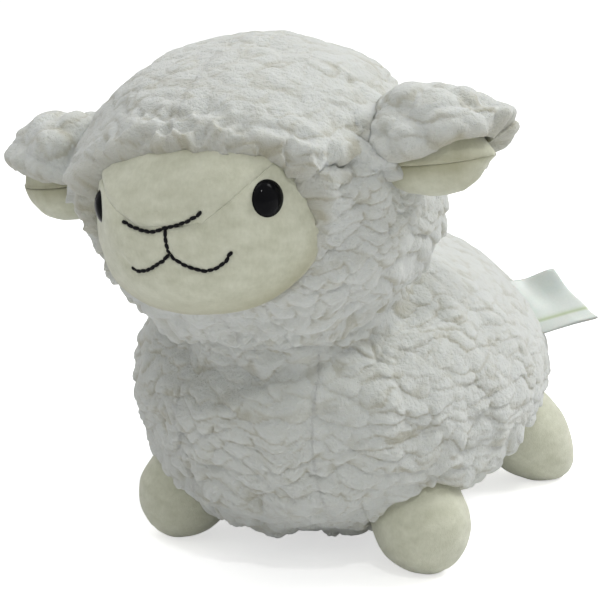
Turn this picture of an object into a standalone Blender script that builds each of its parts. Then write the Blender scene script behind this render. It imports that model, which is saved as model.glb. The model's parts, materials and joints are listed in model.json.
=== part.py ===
"""A plush sheep that stands on four short legs, modelled piece by piece.

The head and the torso are fleece panels round stuffing. The head turns, tilts and nods on a ball of
stuffing in the neck, the ears swing on their root seams, the legs swing in sockets at the hips,
and the sewn-in side label flaps on its seam. Metres, +Z up, the sheep faces -Y and its left is +X.
"""
import math

import bmesh
import bpy
from mathutils import Matrix, Vector
from mathutils.bvhtree import BVHTree

for old in list(bpy.data.objects):
    bpy.data.objects.remove(old, do_unlink=True)

# Torso: an egg of fleece round its stuffing
torso_half_width = 0.0650
torso_front = 0.0825
torso_back = 0.0825
torso_top = 0.0508
torso_bottom = 0.0504
torso_y = 0.0223
torso_z = 0.0527
torso_pitch = math.radians(-1.0)
middle_x = 0.0037
middle_y = -0.0022
gusset_half_width = 0.0220
gusset_lean = math.radians(-16.0)
gusset_top_y = 0.0150
gusset_top_z = 0.0800

# Head: a boxy ball with a muzzle, lowered at the front and its left side up
head_half_width = 0.0493
head_front = 0.0472
head_back = 0.0464
head_half_height = 0.0450
head_square = 2.4
muzzle_proud = 0.0150
muzzle_spread = math.radians(37.0)
muzzle_fall = 2.4
muzzle_rise = math.radians(10.0)
head_x = -0.0012
head_y = -0.0397
head_z = 0.1236
head_pitch = math.radians(15.7)
head_roll = math.radians(-7.3)

# Cloth: the fleece wall, the step down to the face's velour, the leg velour, and the fits
fleece_wall = 0.0050
face_step = 0.0016
leg_wall = 0.0015
seam_gap = 0.0003
weld_distance = 0.00002
face_gap = 0.0006
thread_gap = 0.0004
filling_gap = 0.0006
cut_overrun = 0.0300

# Face: the outline of the velour patch, seen from the head's front
face_half_width = 0.0362
face_half_height = 0.0242
face_rise = 0.0082
face_square = 2.6
face_depth = 0.1200
bridge_bottom = 0.0162
bridge_bottom_half_width = 0.0101
bridge_top_half_width = 0.0395

# Eyes: a domed button with a shank and a washer behind the face
eye_spread = 0.0265
eye_rise = 0.0172
eye_radius = 0.0056
eye_dome = 0.0040
shank_radius = 0.0016
shank_length = 0.0105
washer_radius = 0.0052
washer_thickness = 0.0012
washer_gap = 0.0021

# Stitches: embroidery thread laid on the face
thread_radius = 0.0006
nose_half_width = 0.0127
nose_rise = 0.0152
nose_end_rise = 0.0176
mouth_rise = 0.0074
mouth_half_width = 0.0178
mouth_end_rise = 0.0064
mouth_low_rise = 0.0022
mouth_low_share = 0.6

# Neck: a ball of stuffing in two sockets, with a thread ring round its waist
neck_place_shares = (0.0, 0.737, 0.506)
neck_lean = math.radians(25.0)
neck_ball_radius = 0.0345
neck_fit = 0.0009
neck_groove_depth = 0.0030
neck_groove_half_height = 0.0058
ring_thread_radius = 0.0012

# Ears: a leaf curled along its length, fleece outside and velour inside
ear_length = 0.0325
ear_radius = 0.0148
ear_fleece_wall = 0.0040
ear_lining_wall = 0.0014
ear_rise = 0.0110
ear_back = -0.0090
ear_middle_angle = math.radians(38.0)
ear_fleece_spread = math.radians(124.0)
ear_lining_spread = math.radians(150.0)
ear_tip_share = 0.42
ear_tip_round_share = 0.12
ear_radius_shares = (0.76, 0.92, 1.0, 1.0, 0.97, 0.90, 0.80)
ear_swing_limits = (math.radians(-15.0), math.radians(15.0))

# Legs: teardrops that turn on their round tops in the torso
leg_root_radius = 0.0152
leg_foot_radius = 0.0166
leg_fit = 0.0010
front_leg_reach = 0.0212
front_leg_x = 0.0392
front_leg_y = -0.0133
front_leg_splay = math.radians(32.4)
front_leg_slant = math.radians(-18.8)
hind_leg_reach = 0.0350
hind_leg_x = 0.0347
hind_leg_y = 0.0783
hind_leg_splay = math.radians(42.5)
hind_leg_slant = math.radians(22.5)
sole_depth = 0.0005

# Side label: a woven loop sewn into the left flank
label_width = 0.0160
label_length = 0.0230
label_root_length = 0.0135
label_cloth = 0.0004
label_loop_radius = 0.0010
label_place_shares = (0.792, 0.433, 0.429)
label_droop = math.radians(52.0)
label_lift = 0.0010
label_swing_limits = (math.radians(-30.0), math.radians(30.0))

plush = bpy.data.collections.new("plush_sheep")
cutters = bpy.data.collections.new("cutters")
for group in (plush, cutters):
    bpy.context.scene.collection.children.link(group)


def material(name, colour, roughness):
    mat = bpy.data.materials.new(name)
    mat.use_nodes = True
    shader = mat.node_tree.nodes["Principled BSDF"]
    shader.inputs["Base Color"].default_value = (*colour, 1.0)
    shader.inputs["Roughness"].default_value = roughness
    shader.inputs["Metallic"].default_value = 0.0
    mat.diffuse_color = (*colour, 1.0)
    return mat


fleece_white = (0.80, 0.80, 0.77)
velour_cream = (0.74, 0.74, 0.60)
filling_white = (0.86, 0.86, 0.84)
thread_black = (0.010, 0.010, 0.012)
eye_black = (0.006, 0.006, 0.008)
label_white = (0.82, 0.84, 0.80)


def add(name, mesh, matrix, colour=None, roughness=0.9, pivot=None):
    """Adds a mesh as a named piece with its own material, or as a cutter when it has no colour."""
    obj = bpy.data.objects.new(name, mesh)
    if colour is None:
        cutters.objects.link(obj)
        obj.hide_render = True
        obj.display_type = "WIRE"
    else:
        plush.objects.link(obj)
        mesh.materials.append(material(name, colour, roughness))
        mesh.shade_smooth()
    if pivot is None:
        obj.matrix_world = matrix
    else:
        mesh.transform(pivot.matrix_world.inverted() @ matrix)
        obj.parent = pivot
    return obj


def pivot_empty(name, place):
    """An empty that marks a joint's centre. Its axes stay along the world's."""
    empty = bpy.data.objects.new(name, None)
    plush.objects.link(empty)
    empty.matrix_world = Matrix.Translation(place)
    return empty


def boolean(obj, cutter, operation="DIFFERENCE"):
    mod = obj.modifiers.new(cutter.name, "BOOLEAN")
    mod.operation = operation
    mod.object = cutter
    mod.solver = "EXACT"


# Soft forms

def sphere_cage(cuts):
    """A cube cut into a grid and blown up to a unit sphere."""
    bm = bmesh.new()
    bmesh.ops.create_cube(bm, size=1.0)
    bmesh.ops.subdivide_edges(bm, edges=bm.edges[:], cuts=cuts, use_grid_fill=True)
    for v in bm.verts:
        v.co.normalize()
    return bm


fine_cut_count = 3
coarse_cut_count = 2
leg_cut_count = 1
hip_step_count = 16
neck_step_count = 26
fit_round_count = 4


def soft_form(name, shape, matrix, cuts, colour=None, roughness=0.9, pivot=None):
    """A soft form from a coarse cage: shape maps a unit direction to a point round the centre.

    Subdivision draws a cage in, so the cage is pushed out until its smooth surface meets the shape.
    """
    bm = sphere_cage(cuts)
    aims = [Vector(shape(v.co)) for v in bm.verts]
    for v, aim in zip(bm.verts, aims):
        v.co = aim
    mesh = bpy.data.meshes.new(name)
    bm.to_mesh(mesh)
    bm.free()
    obj = add(name, mesh, Matrix.Identity(4), colour, roughness)
    mod = obj.modifiers.new("Subdivision", "SUBSURF")
    mod.levels = mod.render_levels = 1
    for i in range(fit_round_count):
        smooth = obj.evaluated_get(bpy.context.evaluated_depsgraph_get()).to_mesh()
        pushes = [aim - smooth.vertices[k].co for k, aim in enumerate(aims)]
        for v, push in zip(mesh.vertices, pushes):
            v.co += push
        mesh.update()
        obj.update_tag()
    if pivot is None:
        obj.matrix_world = matrix
    else:
        mesh.transform(pivot.matrix_world.inverted() @ matrix)
        obj.parent = pivot
    return obj


def egg(width, front, back, top, bottom, inset=0.0):
    """An egg with its own half sizes to the front, back, top and bottom, shrunk by an inset."""
    def shape(d):
        along = front if d.y < 0.0 else back
        high = top if d.z > 0.0 else bottom
        return (d.x * (width - inset), d.y * (along - inset), d.z * (high - inset))
    return shape


def torso_shape(inset):
    return egg(torso_half_width, torso_front, torso_back, torso_top, torso_bottom, inset)


def head_shape(inset):
    """A superellipsoid with a rounded muzzle that swells out of its front."""
    core = egg(head_half_width, head_front, head_back, head_half_height, head_half_height, inset)
    ahead = Vector((0.0, -math.cos(muzzle_rise), math.sin(muzzle_rise)))

    def shape(d):
        d = Vector(d).normalized()
        boxy = sum(abs(c) ** head_square for c in d) ** (-1.0 / head_square)
        swelling = muzzle_proud * math.exp(-(d.angle(ahead) / muzzle_spread) ** muzzle_fall)
        return Vector(core(d)) * boxy + d * swelling
    return shape


def box(name, low, high, matrix=Matrix.Identity(4)):
    bm = bmesh.new()
    bmesh.ops.create_cube(bm, size=1.0)
    low, high = Vector(low), Vector(high)
    for v in bm.verts:
        v.co = Vector([(l + h) / 2 + c * (h - l) for l, h, c in zip(low, high, v.co)])
    mesh = bpy.data.meshes.new(name)
    bm.to_mesh(mesh)
    bm.free()
    return add(name, mesh, matrix)


def ball(name, radius, matrix, segments):
    bm = bmesh.new()
    bmesh.ops.create_uvsphere(bm, u_segments=segments, v_segments=segments // 2, radius=radius)
    mesh = bpy.data.meshes.new(name)
    bm.to_mesh(mesh)
    bm.free()
    return add(name, mesh, matrix)


def rod(name, radius, low, high, matrix, segments=16):
    """A cylinder from low to high on the matrix's own Z."""
    bm = bmesh.new()
    bmesh.ops.create_cone(bm, cap_ends=True, segments=segments, radius1=radius, radius2=radius,
                          depth=high - low, matrix=Matrix.Translation((0, 0, (low + high) / 2)))
    mesh = bpy.data.meshes.new(name)
    bm.to_mesh(mesh)
    bm.free()
    return add(name, mesh, matrix)


def turned(name, profile, matrix, steps, colour, roughness, pivot=None, closed=False):
    """Turns a profile of (radius, height) points, listed from top to bottom, about its own Z."""
    mesh = bpy.data.meshes.new(name)
    bm = bmesh.new()
    points = [bm.verts.new((r, 0.0, h)) for r, h in profile]
    for a, b in zip(points, points[1:] + (points[:1] if closed else [])):
        if closed or b is not points[0]:
            bm.edges.new((a, b))
    bm.to_mesh(mesh)
    bm.free()
    obj = add(name, mesh, Matrix.Identity(4), colour, roughness)
    mod = obj.modifiers.new("Turn", "SCREW")
    mod.axis = "Z"
    mod.angle = 2 * math.pi
    mod.steps = mod.render_steps = steps
    mod.use_merge_vertices = True
    mod.merge_threshold = 0.00001
    obj.matrix_world = matrix
    if pivot is not None:
        obj.parent = pivot
        obj.matrix_parent_inverse = pivot.matrix_world.inverted()
        obj.matrix_basis = matrix
    return obj


def facing(place, outward, up=Vector((0, 0, 1))):
    """A frame at a place whose own Z points outward and whose own X lies level."""
    z = Vector(outward).normalized()
    x = up.cross(z).normalized()
    y = z.cross(x)
    return Matrix((( x.x, y.x, z.x, place[0]), (x.y, y.y, z.y, place[1]),
                   (x.z, y.z, z.z, place[2]), (0, 0, 0, 1)))


middle = Matrix.Translation((middle_x, middle_y, 0))
torso_frame = (middle @ Matrix.Translation((0, torso_y, torso_z))
               @ Matrix.Rotation(torso_pitch, 4, "X"))
head_frame = (middle @ Matrix.Translation((head_x, head_y, head_z))
              @ Matrix.Rotation(head_roll, 4, "Y") @ Matrix.Rotation(head_pitch, 4, "X"))

# Joint centres
neck_place = middle @ Vector((0, torso_y + neck_place_shares[1] * (head_y - torso_y),
                              torso_z + neck_place_shares[2] * (head_z - torso_z)))
neck_frame = Matrix.Translation(neck_place) @ Matrix.Rotation(neck_lean, 4, "X")
neck_pivot = pivot_empty("neck_pivot", neck_place)


def leg_frame(side, x, y, splay, slant, reach):
    """A leg's frame: its own -Z runs from the hip to the foot, and the sole dips below the floor."""
    turn = Matrix.Rotation(-side * splay, 4, "Y") @ Matrix.Rotation(slant, 4, "X")
    fall = turn.to_3x3() @ Vector((0, 0, 1))
    low = math.hypot(leg_foot_radius * math.sqrt(1.0 - fall.z ** 2), reach * fall.z)
    return middle @ Matrix.Translation((side * x, y, low - sole_depth)) @ turn


legs = {}
for side_name, side in (("left", 1), ("right", -1)):
    legs["front_" + side_name] = (leg_frame(side, front_leg_x, front_leg_y, front_leg_splay,
                                            front_leg_slant, front_leg_reach), front_leg_reach)
    legs["hind_" + side_name] = (leg_frame(side, hind_leg_x, hind_leg_y, hind_leg_splay,
                                           hind_leg_slant, hind_leg_reach), hind_leg_reach)

# Cutters shared by the torso and the head
torso_outer = soft_form("torso_outer_form", torso_shape(-seam_gap), torso_frame, fine_cut_count)
torso_inner = soft_form("torso_inner_form", torso_shape(fleece_wall), torso_frame, coarse_cut_count)
head_outer = soft_form("head_outer_form", head_shape(-seam_gap), head_frame, fine_cut_count)
head_inner = soft_form("head_inner_form", head_shape(fleece_wall), head_frame, fine_cut_count)
neck_socket = ball("neck_socket", neck_ball_radius + neck_fit, neck_frame, neck_step_count)
hip_sockets = {name: ball(name + "_hip_socket", leg_root_radius + leg_fit, frame, hip_step_count)
               for name, (frame, reach) in legs.items()}

reach_all = head_front + torso_front + cut_overrun
sides = {}
for side_name, side in (("left", 1), ("right", -1)):
    near, far = side * seam_gap / 2, side * reach_all
    sides[side_name] = box(side_name + "_half", (min(near, far), -reach_all, -reach_all),
                           (max(near, far), reach_all, reach_all), middle)
gusset_frame = (middle @ Matrix.Translation((0, gusset_top_y, gusset_top_z))
                @ Matrix.Rotation(gusset_lean, 4, "X"))
gusset_box = box("gusset_box", (-gusset_half_width, -reach_all, -reach_all),
                 (gusset_half_width, reach_all, 0), gusset_frame)
gusset_hole = box("gusset_hole", (-gusset_half_width - seam_gap, -reach_all, -reach_all),
                  (gusset_half_width + seam_gap, reach_all, seam_gap), gusset_frame)

# Torso: two side panels and a belly gusset round the stuffing
for side_name in ("left", "right"):
    panel = soft_form("body_fleece_" + side_name, torso_shape(0.0), torso_frame, fine_cut_count,
                      fleece_white)
    boolean(panel, sides[side_name], "INTERSECT")
    boolean(panel, gusset_hole)
    boolean(panel, torso_inner)
    boolean(panel, neck_socket)
    for end in ("front_", "hind_"):
        boolean(panel, hip_sockets[end + side_name])
belly = soft_form("belly_fleece", torso_shape(0.0), torso_frame, fine_cut_count, fleece_white)
boolean(belly, gusset_box, "INTERSECT")
boolean(belly, neck_socket)
for name in legs:
    boolean(belly, hip_sockets[name])
boolean(belly, torso_inner)
filling = soft_form("body_stuffing", torso_shape(fleece_wall + filling_gap), torso_frame,
                    coarse_cut_count, filling_white)
boolean(filling, neck_socket)
for name in legs:
    boolean(filling, hip_sockets[name])

# Neck: a ball with a waist, and the thread ring that gathers the cloth round it
waist_radius = neck_ball_radius - neck_groove_depth
ball_profile = []
ball_step_count = 14
for i in range(ball_step_count + 1):
    angle = math.pi * i / ball_step_count
    r, h = neck_ball_radius * math.sin(angle), neck_ball_radius * math.cos(angle)
    if abs(h) > neck_groove_half_height:
        ball_profile.append((r, h))
edge_r = math.sqrt(neck_ball_radius ** 2 - neck_groove_half_height ** 2)
floor_r = math.sqrt(waist_radius ** 2 - neck_groove_half_height ** 2)
groove = [(edge_r, neck_groove_half_height), (floor_r, neck_groove_half_height),
          (waist_radius, 0.0), (floor_r, -neck_groove_half_height),
          (edge_r, -neck_groove_half_height)]
upper = [p for p in ball_profile if p[1] > 0]
lower = [p for p in ball_profile if p[1] < 0]
upper[0] = (0.0, neck_ball_radius)
lower[-1] = (0.0, -neck_ball_radius)
turned("neck_stuffing", upper + groove + lower, neck_frame, neck_step_count, filling_white, 0.95, neck_pivot)
ring_radius = (waist_radius + neck_ball_radius) / 2
ring_step_count = 6
ring_profile = [(ring_radius + ring_thread_radius * math.cos(a), -ring_thread_radius * math.sin(a))
                for a in (2 * math.pi * i / ring_step_count for i in range(ring_step_count))]
turned("neck_seam", ring_profile, neck_frame, neck_step_count, fleece_white, 0.9, neck_pivot, closed=True)


# Face outline: a prism along the head's own Y

def face_prism(name, grow=0.0):
    """A superellipse prism that cuts the velour patch out of the head's front."""
    bm = bmesh.new()
    bmesh.ops.create_cone(bm, cap_ends=True, segments=40, radius1=1.0, radius2=1.0, depth=face_depth)
    for v in bm.verts:
        angle = math.atan2(v.co.y, v.co.x)
        c, s = math.cos(angle), math.sin(angle)
        reach = (abs(c) ** face_square + abs(s) ** face_square) ** (-1.0 / face_square)
        x = (face_half_width + grow) * reach * c
        z = face_rise + (face_half_height + grow) * reach * s
        v.co = Vector((x, v.co.z - face_depth / 2, z))
    bmesh.ops.recalc_face_normals(bm, faces=bm.faces[:])
    mesh = bpy.data.meshes.new(name)
    bm.to_mesh(mesh)
    bm.free()
    return add(name, mesh, head_frame)


def bridge_prism(name, grow=0.0):
    """A wedge that cuts the bridge of the nose and the forehead out of the face patch."""
    top = face_rise + face_half_height + cut_overrun
    bottom = bridge_bottom - grow
    rise_share = (top - bottom) / (face_rise + face_half_height - bottom)
    bm = bmesh.new()
    bmesh.ops.create_cube(bm, size=1.0)
    for v in bm.verts:
        high = v.co.z > 0
        half = (bridge_bottom_half_width + (bridge_top_half_width - bridge_bottom_half_width)
                * (rise_share if high else 0.0)) + grow
        v.co = Vector((math.copysign(half, v.co.x), (v.co.y - 0.5) * face_depth,
                       top if high else bottom))
    mesh = bpy.data.meshes.new(name)
    bm.to_mesh(mesh)
    bm.free()
    return add(name, mesh, head_frame)


face_window = face_prism("face_window", seam_gap)
face_patch = face_prism("face_patch")
bridge_patch = bridge_prism("bridge_patch")
bridge_hole = bridge_prism("bridge_hole", seam_gap)


face_form = soft_form("face_form", head_shape(face_step), head_frame, fine_cut_count)
face_surface = BVHTree.FromObject(face_form, bpy.context.evaluated_depsgraph_get())


def face_point(x, z):
    """The point of the face's surface at a sideways and upward place in the head's frame."""
    return face_surface.ray_cast(Vector((x, -face_depth, z)), Vector((0, 1, 0)))[0]


def face_normal(x, z):
    """The way out of the face, averaged over an eye's width."""
    across = face_point(x + eye_radius, z) - face_point(x - eye_radius, z)
    upward = face_point(x, z + eye_radius) - face_point(x, z - eye_radius)
    normal = across.cross(upward).normalized()
    return normal if normal.y < 0.0 else -normal


# Eyes with shanks and washers
eye_frames = {}
for side_name, side in (("left", 1), ("right", -1)):
    at = face_point(side * eye_spread, eye_rise)
    out = face_normal(side * eye_spread, eye_rise)
    frame = head_frame @ facing(at + out * face_gap, out)
    eye_frames[side_name] = frame
    rim = [(eye_radius * math.sin(a), eye_dome * math.cos(a))
           for a in (math.pi / 2 * i / 6 for i in range(7))]
    profile = [(0.0, eye_dome)] + rim[1:] + [(shank_radius, 0.0), (shank_radius, -shank_length),
                                             (0.0, -shank_length)]
    turned(side_name + "_eye", profile, frame, 20, eye_black, 0.08, neck_pivot)
    washer_top = -(fleece_wall - face_step) - face_gap - washer_gap
    r0, r1 = shank_radius + seam_gap, washer_radius
    washer = [(r1, washer_top), (r1, washer_top - washer_thickness),
              (r0, washer_top - washer_thickness), (r0, washer_top)]
    turned(side_name + "_eye_washer", washer, frame, 16, (0.75, 0.75, 0.72), 0.5, neck_pivot,
           closed=True)
    rod(side_name + "_eye_hole", shank_radius + seam_gap, -shank_length - seam_gap, cut_overrun,
        frame)
    rod(side_name + "_washer_pocket", washer_radius + seam_gap,
        washer_top - washer_thickness - seam_gap, cut_overrun, frame)

# Head: two fleece panels, the two face panels and the stuffing
for side_name in ("left", "right"):
    panel = soft_form("head_fleece_" + side_name, head_shape(0.0), head_frame, fine_cut_count,
                      fleece_white, pivot=neck_pivot)
    half = sides[side_name].copy()
    half.matrix_world = head_frame
    half.name = side_name + "_head_half"
    cutters.objects.link(half)
    boolean(panel, half, "INTERSECT")
    boolean(panel, head_inner)
    boolean(panel, face_window)
    boolean(panel, neck_socket)
bridge = soft_form("face_bridge_panel", head_shape(face_step), head_frame, fine_cut_count,
                   velour_cream, pivot=neck_pivot)
boolean(bridge, face_patch, "INTERSECT")
boolean(bridge, bridge_patch, "INTERSECT")
boolean(bridge, head_inner)
cheeks = soft_form("face_cheek_panel", head_shape(face_step), head_frame, fine_cut_count,
                   velour_cream, pivot=neck_pivot)
boolean(cheeks, face_patch, "INTERSECT")
boolean(cheeks, head_inner)
boolean(cheeks, bridge_hole)
boolean(cheeks, neck_socket)
head_filling = soft_form("head_stuffing", head_shape(fleece_wall + filling_gap), head_frame,
                         fine_cut_count, filling_white, pivot=neck_pivot)
boolean(head_filling, neck_socket)
for side_name in ("left", "right"):
    for panel in (bridge, cheeks, head_filling):
        boolean(panel, cutters.objects[side_name + "_eye_hole"])
    boolean(head_filling, cutters.objects[side_name + "_washer_pocket"])


# Stitches

def smooth_path(points, count):
    """Points at even steps along a Catmull-Rom curve through the given ones."""
    ends = [2 * points[0] - points[1]] + points + [2 * points[-1] - points[-2]]
    path = []
    for i in range(count + 1):
        t = i * (len(points) - 1) / count
        k = min(int(t), len(points) - 2)
        u = t - k
        a, b, c, d = ends[k:k + 4]
        path.append(0.5 * (2 * b + (c - a) * u + (2 * a - 5 * b + 4 * c - d) * u ** 2
                           + (3 * b - a - 3 * c + d) * u ** 3))
    return path


def stitch(name, shares, count):
    """A thread laid on the face through places given as sideways and upward positions."""
    flat = smooth_path([Vector((x, z)) for x, z in shares], count)
    lift = thread_radius + thread_gap
    path = [face_point(p.x, p.y) + face_normal(p.x, p.y) * lift for p in flat]
    curve = bpy.data.curves.new(name, "CURVE")
    curve.dimensions = "3D"
    curve.bevel_depth = thread_radius
    curve.bevel_resolution = 1
    curve.use_fill_caps = True
    spline = curve.splines.new("POLY")
    spline.points.add(len(path) - 1)
    for point, place in zip(spline.points, path):
        point.co = (*place, 1.0)
    obj = bpy.data.objects.new(name, curve)
    plush.objects.link(obj)
    curve.materials.append(material(name, thread_black, 0.6))
    obj.parent = neck_pivot
    obj.matrix_parent_inverse = neck_pivot.matrix_world.inverted()
    obj.matrix_basis = head_frame
    return obj


end_gap = thread_radius + seam_gap
stitch("nose_stitch", [(-nose_half_width, nose_end_rise), (-nose_half_width / 2, nose_rise),
                       (0.0, nose_rise), (nose_half_width / 2, nose_rise),
                       (nose_half_width, nose_end_rise)], 14)
stitch("philtrum_stitch", [(0.0, nose_rise - end_gap), (0.0, mouth_rise + end_gap)], 4)
for side_name, side in (("left", 1), ("right", -1)):
    start = side * end_gap
    stitch(side_name + "_mouth_stitch",
           [(start, mouth_rise), (side * mouth_half_width / 3, (mouth_rise + mouth_low_rise) / 2
                                  - thread_radius),
            (side * mouth_half_width * mouth_low_share, mouth_low_rise),
            (side * mouth_half_width, mouth_end_rise)], 12)


# Ears

def ear_sheet(name, side, inset, wall, spread, colour, pivot, frame, long_steps=8, round_steps=12):
    """A curled leaf's outer surface at an inset, thickened inward."""
    bm = bmesh.new()
    bmesh.ops.create_grid(bm, x_segments=long_steps, y_segments=round_steps, size=1.0)
    for v in bm.verts:
        s, t = (v.co.x + 1.0) / 2, v.co.y
        k = s * (len(ear_radius_shares) - 1)
        i = min(int(k), len(ear_radius_shares) - 2)
        share = ear_radius_shares[i] + (ear_radius_shares[i + 1] - ear_radius_shares[i]) * (k - i)
        radius = ear_radius * share - inset
        angle = ear_middle_angle + spread * t * (1.0 + (ear_tip_share - 1.0) * s ** 3)
        reach = ear_length * (s - ear_tip_round_share * s * t * t)
        v.co = Vector((side * reach, radius * math.cos(angle), radius * math.sin(angle)))
    mesh = bpy.data.meshes.new(name)
    bm.to_mesh(mesh)
    bm.free()
    obj = add(name, mesh, frame, colour, 0.9, pivot)
    mod = obj.modifiers.new("Wall", "SOLIDIFY")
    mod.thickness = wall
    mod.offset = 1.0 if side < 0 else -1.0
    mod.use_even_offset = False
    return obj


def limit_cutters(name, source, place, axis, limits):
    """Copies of a form turned back by each limit, so that a piece cut by them can swing."""
    made = []
    for i, angle in enumerate((0.0, limits[0], limits[1])):
        copy = source.copy()
        cutters.objects.link(copy)
        copy.name = "%s_%d" % (name, i)
        turn = (Matrix.Translation(place) @ Matrix.Rotation(-angle, 4, axis)
                @ Matrix.Translation(-Vector(place)))
        copy.matrix_world = turn @ source.matrix_world
        made.append(copy)
    return made


for side_name, side in (("left", 1), ("right", -1)):
    toward = Vector((side * head_half_width, ear_back, ear_rise)).normalized()
    root = head_frame @ Vector(head_shape(0.0)(toward))
    ear_pivot = pivot_empty(side_name + "_ear_pivot", root)
    ear_frame = Matrix.Translation(root) @ head_frame.to_3x3().to_4x4()
    axis = head_frame.to_3x3() @ Vector((0, 0, 1))
    swing = (ear_swing_limits if side > 0 else (-ear_swing_limits[1], -ear_swing_limits[0]))
    reliefs = limit_cutters(side_name + "_ear_relief", head_outer, root, axis, swing)
    fleece = ear_sheet(side_name + "_ear_fleece", side, 0.0, ear_fleece_wall, ear_fleece_spread,
                       fleece_white, ear_pivot, ear_frame)
    lining = ear_sheet(side_name + "_ear_lining", side, ear_fleece_wall + seam_gap,
                       ear_lining_wall, ear_lining_spread, velour_cream, ear_pivot, ear_frame)
    for piece in (fleece, lining):
        for relief in reliefs:
            boolean(piece, relief)


# Legs

def leg_shape(reach, inset):
    """A teardrop: a round root upward, swelling to the foot downward."""
    def shape(d):
        root, foot = leg_root_radius - inset, leg_foot_radius - inset
        if d.z >= 0.0:
            return (d.x * root, d.y * root, d.z * root)
        swelling = min(1.0, -2.0 * d.z)
        radius = root + (foot - root) * swelling
        return (d.x * radius, d.y * radius, d.z * (reach - inset))
    return shape


floor_box = box("floor_box", (-reach_all, -reach_all, -reach_all), (reach_all, reach_all, 0))
for name, (frame, reach) in legs.items():
    hip = pivot_empty(name + "_hip_pivot", frame.translation)
    cover = soft_form(name + "_leg_cover", leg_shape(reach, 0.0), frame, coarse_cut_count,
                      velour_cream, pivot=hip)
    core = soft_form(name + "_leg_inner_form", leg_shape(reach, leg_wall), frame,
                     leg_cut_count)
    mouth = rod(name + "_leg_mouth", leg_foot_radius + leg_wall, leg_root_radius / 2,
                leg_root_radius + cut_overrun, frame)
    boolean(cover, core)
    boolean(cover, mouth)
    boolean(cover, floor_box)
    soft_form(name + "_leg_stuffing", leg_shape(reach, leg_wall + seam_gap), frame, leg_cut_count,
              filling_white, pivot=hip)

# Side label: a strip folded into a loop, its two ends at the flank
toward = Vector(label_place_shares).normalized()
out = Vector((toward.x / torso_half_width, toward.y / torso_back, toward.z / torso_top)).normalized()
root = torso_frame @ (Vector(torso_shape(0.0)(toward)) + out * label_lift)
out = torso_frame.to_3x3() @ out
down = (out * out.z - Vector((0, 0, 1))).normalized()
away = out * math.cos(label_droop) + down * math.sin(label_droop)
seam = down * math.cos(label_droop) - out * math.sin(label_droop)
side_on = away.cross(seam)
label_frame = Matrix(((away.x, seam.x, side_on.x, root.x), (away.y, seam.y, side_on.y, root.y),
                      (away.z, seam.z, side_on.z, root.z), (0, 0, 0, 1)))
label_pivot = pivot_empty("side_label_pivot", label_frame.translation)
outline = []
loop_step_count = 6
for radius, order in ((label_loop_radius, 1), (label_loop_radius - label_cloth, -1)):
    bend = label_length - label_loop_radius
    arc = [(bend + radius * math.cos(a), radius * math.sin(a))
           for a in (-math.pi / 2 + math.pi * i / loop_step_count for i in range(loop_step_count + 1))]
    run = [(-label_root_length, -radius)] + arc + [(-label_root_length, radius)]
    outline += run[::order]
curve = bpy.data.curves.new("side_label_outline", "CURVE")
curve.dimensions = "2D"
curve.fill_mode = "BOTH"
curve.extrude = label_width / 2
spline = curve.splines.new("POLY")
spline.points.add(len(outline) - 1)
spline.use_cyclic_u = True
for point, (x, y) in zip(spline.points, outline):
    point.co = (x, y, 0.0, 1.0)
flat = bpy.data.objects.new("side_label_outline", curve)
cutters.objects.link(flat)
label_mesh = bpy.data.meshes.new_from_object(
    flat.evaluated_get(bpy.context.evaluated_depsgraph_get()))
bpy.data.objects.remove(flat, do_unlink=True)
bm = bmesh.new()
bm.from_mesh(label_mesh)
bmesh.ops.remove_doubles(bm, verts=bm.verts[:], dist=weld_distance)
bmesh.ops.recalc_face_normals(bm, faces=bm.faces[:])
# the outline's own Z runs across the label, which is the frame's Y
bmesh.ops.transform(bm, matrix=Matrix.Rotation(math.radians(90.0), 4, "X"), verts=bm.verts[:])
bm.to_mesh(label_mesh)
bm.free()
label_mesh.name = "side_label"
label_mesh.materials.clear()
label = add("side_label", label_mesh, label_frame, label_white, 0.5, label_pivot)
label_axis = down
for relief in limit_cutters("label_relief", torso_outer, label_frame.translation, label_axis,
                            label_swing_limits):
    boolean(label, relief)

print("neck", [round(v, 5) for v in neck_place], "axis",
      [round(v, 4) for v in neck_frame.to_3x3() @ Vector((0, 0, 1))])
for empty in [o for o in plush.objects if o.type == "EMPTY"]:
    print(empty.name, [round(v, 5) for v in empty.matrix_world.translation])
print("ear axis", [round(v, 4) for v in head_frame.to_3x3() @ Vector((0, 0, 1))])
print("label axis", [round(v, 4) for v in label_axis])
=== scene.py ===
# %% [markdown]
# # A plush sheep
# The real toy is sewn from white sherpa fleece and cream velour, turned right side out and filled
# with loose polyester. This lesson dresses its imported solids, which stay as the fixed frame.
# Every length is in metres, and the sheep faces -Y with its own left at +X.

# %% Load the frame
import json
import math
from itertools import product

import bmesh
import bpy
import numpy as np
from mathutils import Matrix, Vector
from mathutils.bvhtree import BVHTree
from mathutils.kdtree import KDTree


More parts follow.
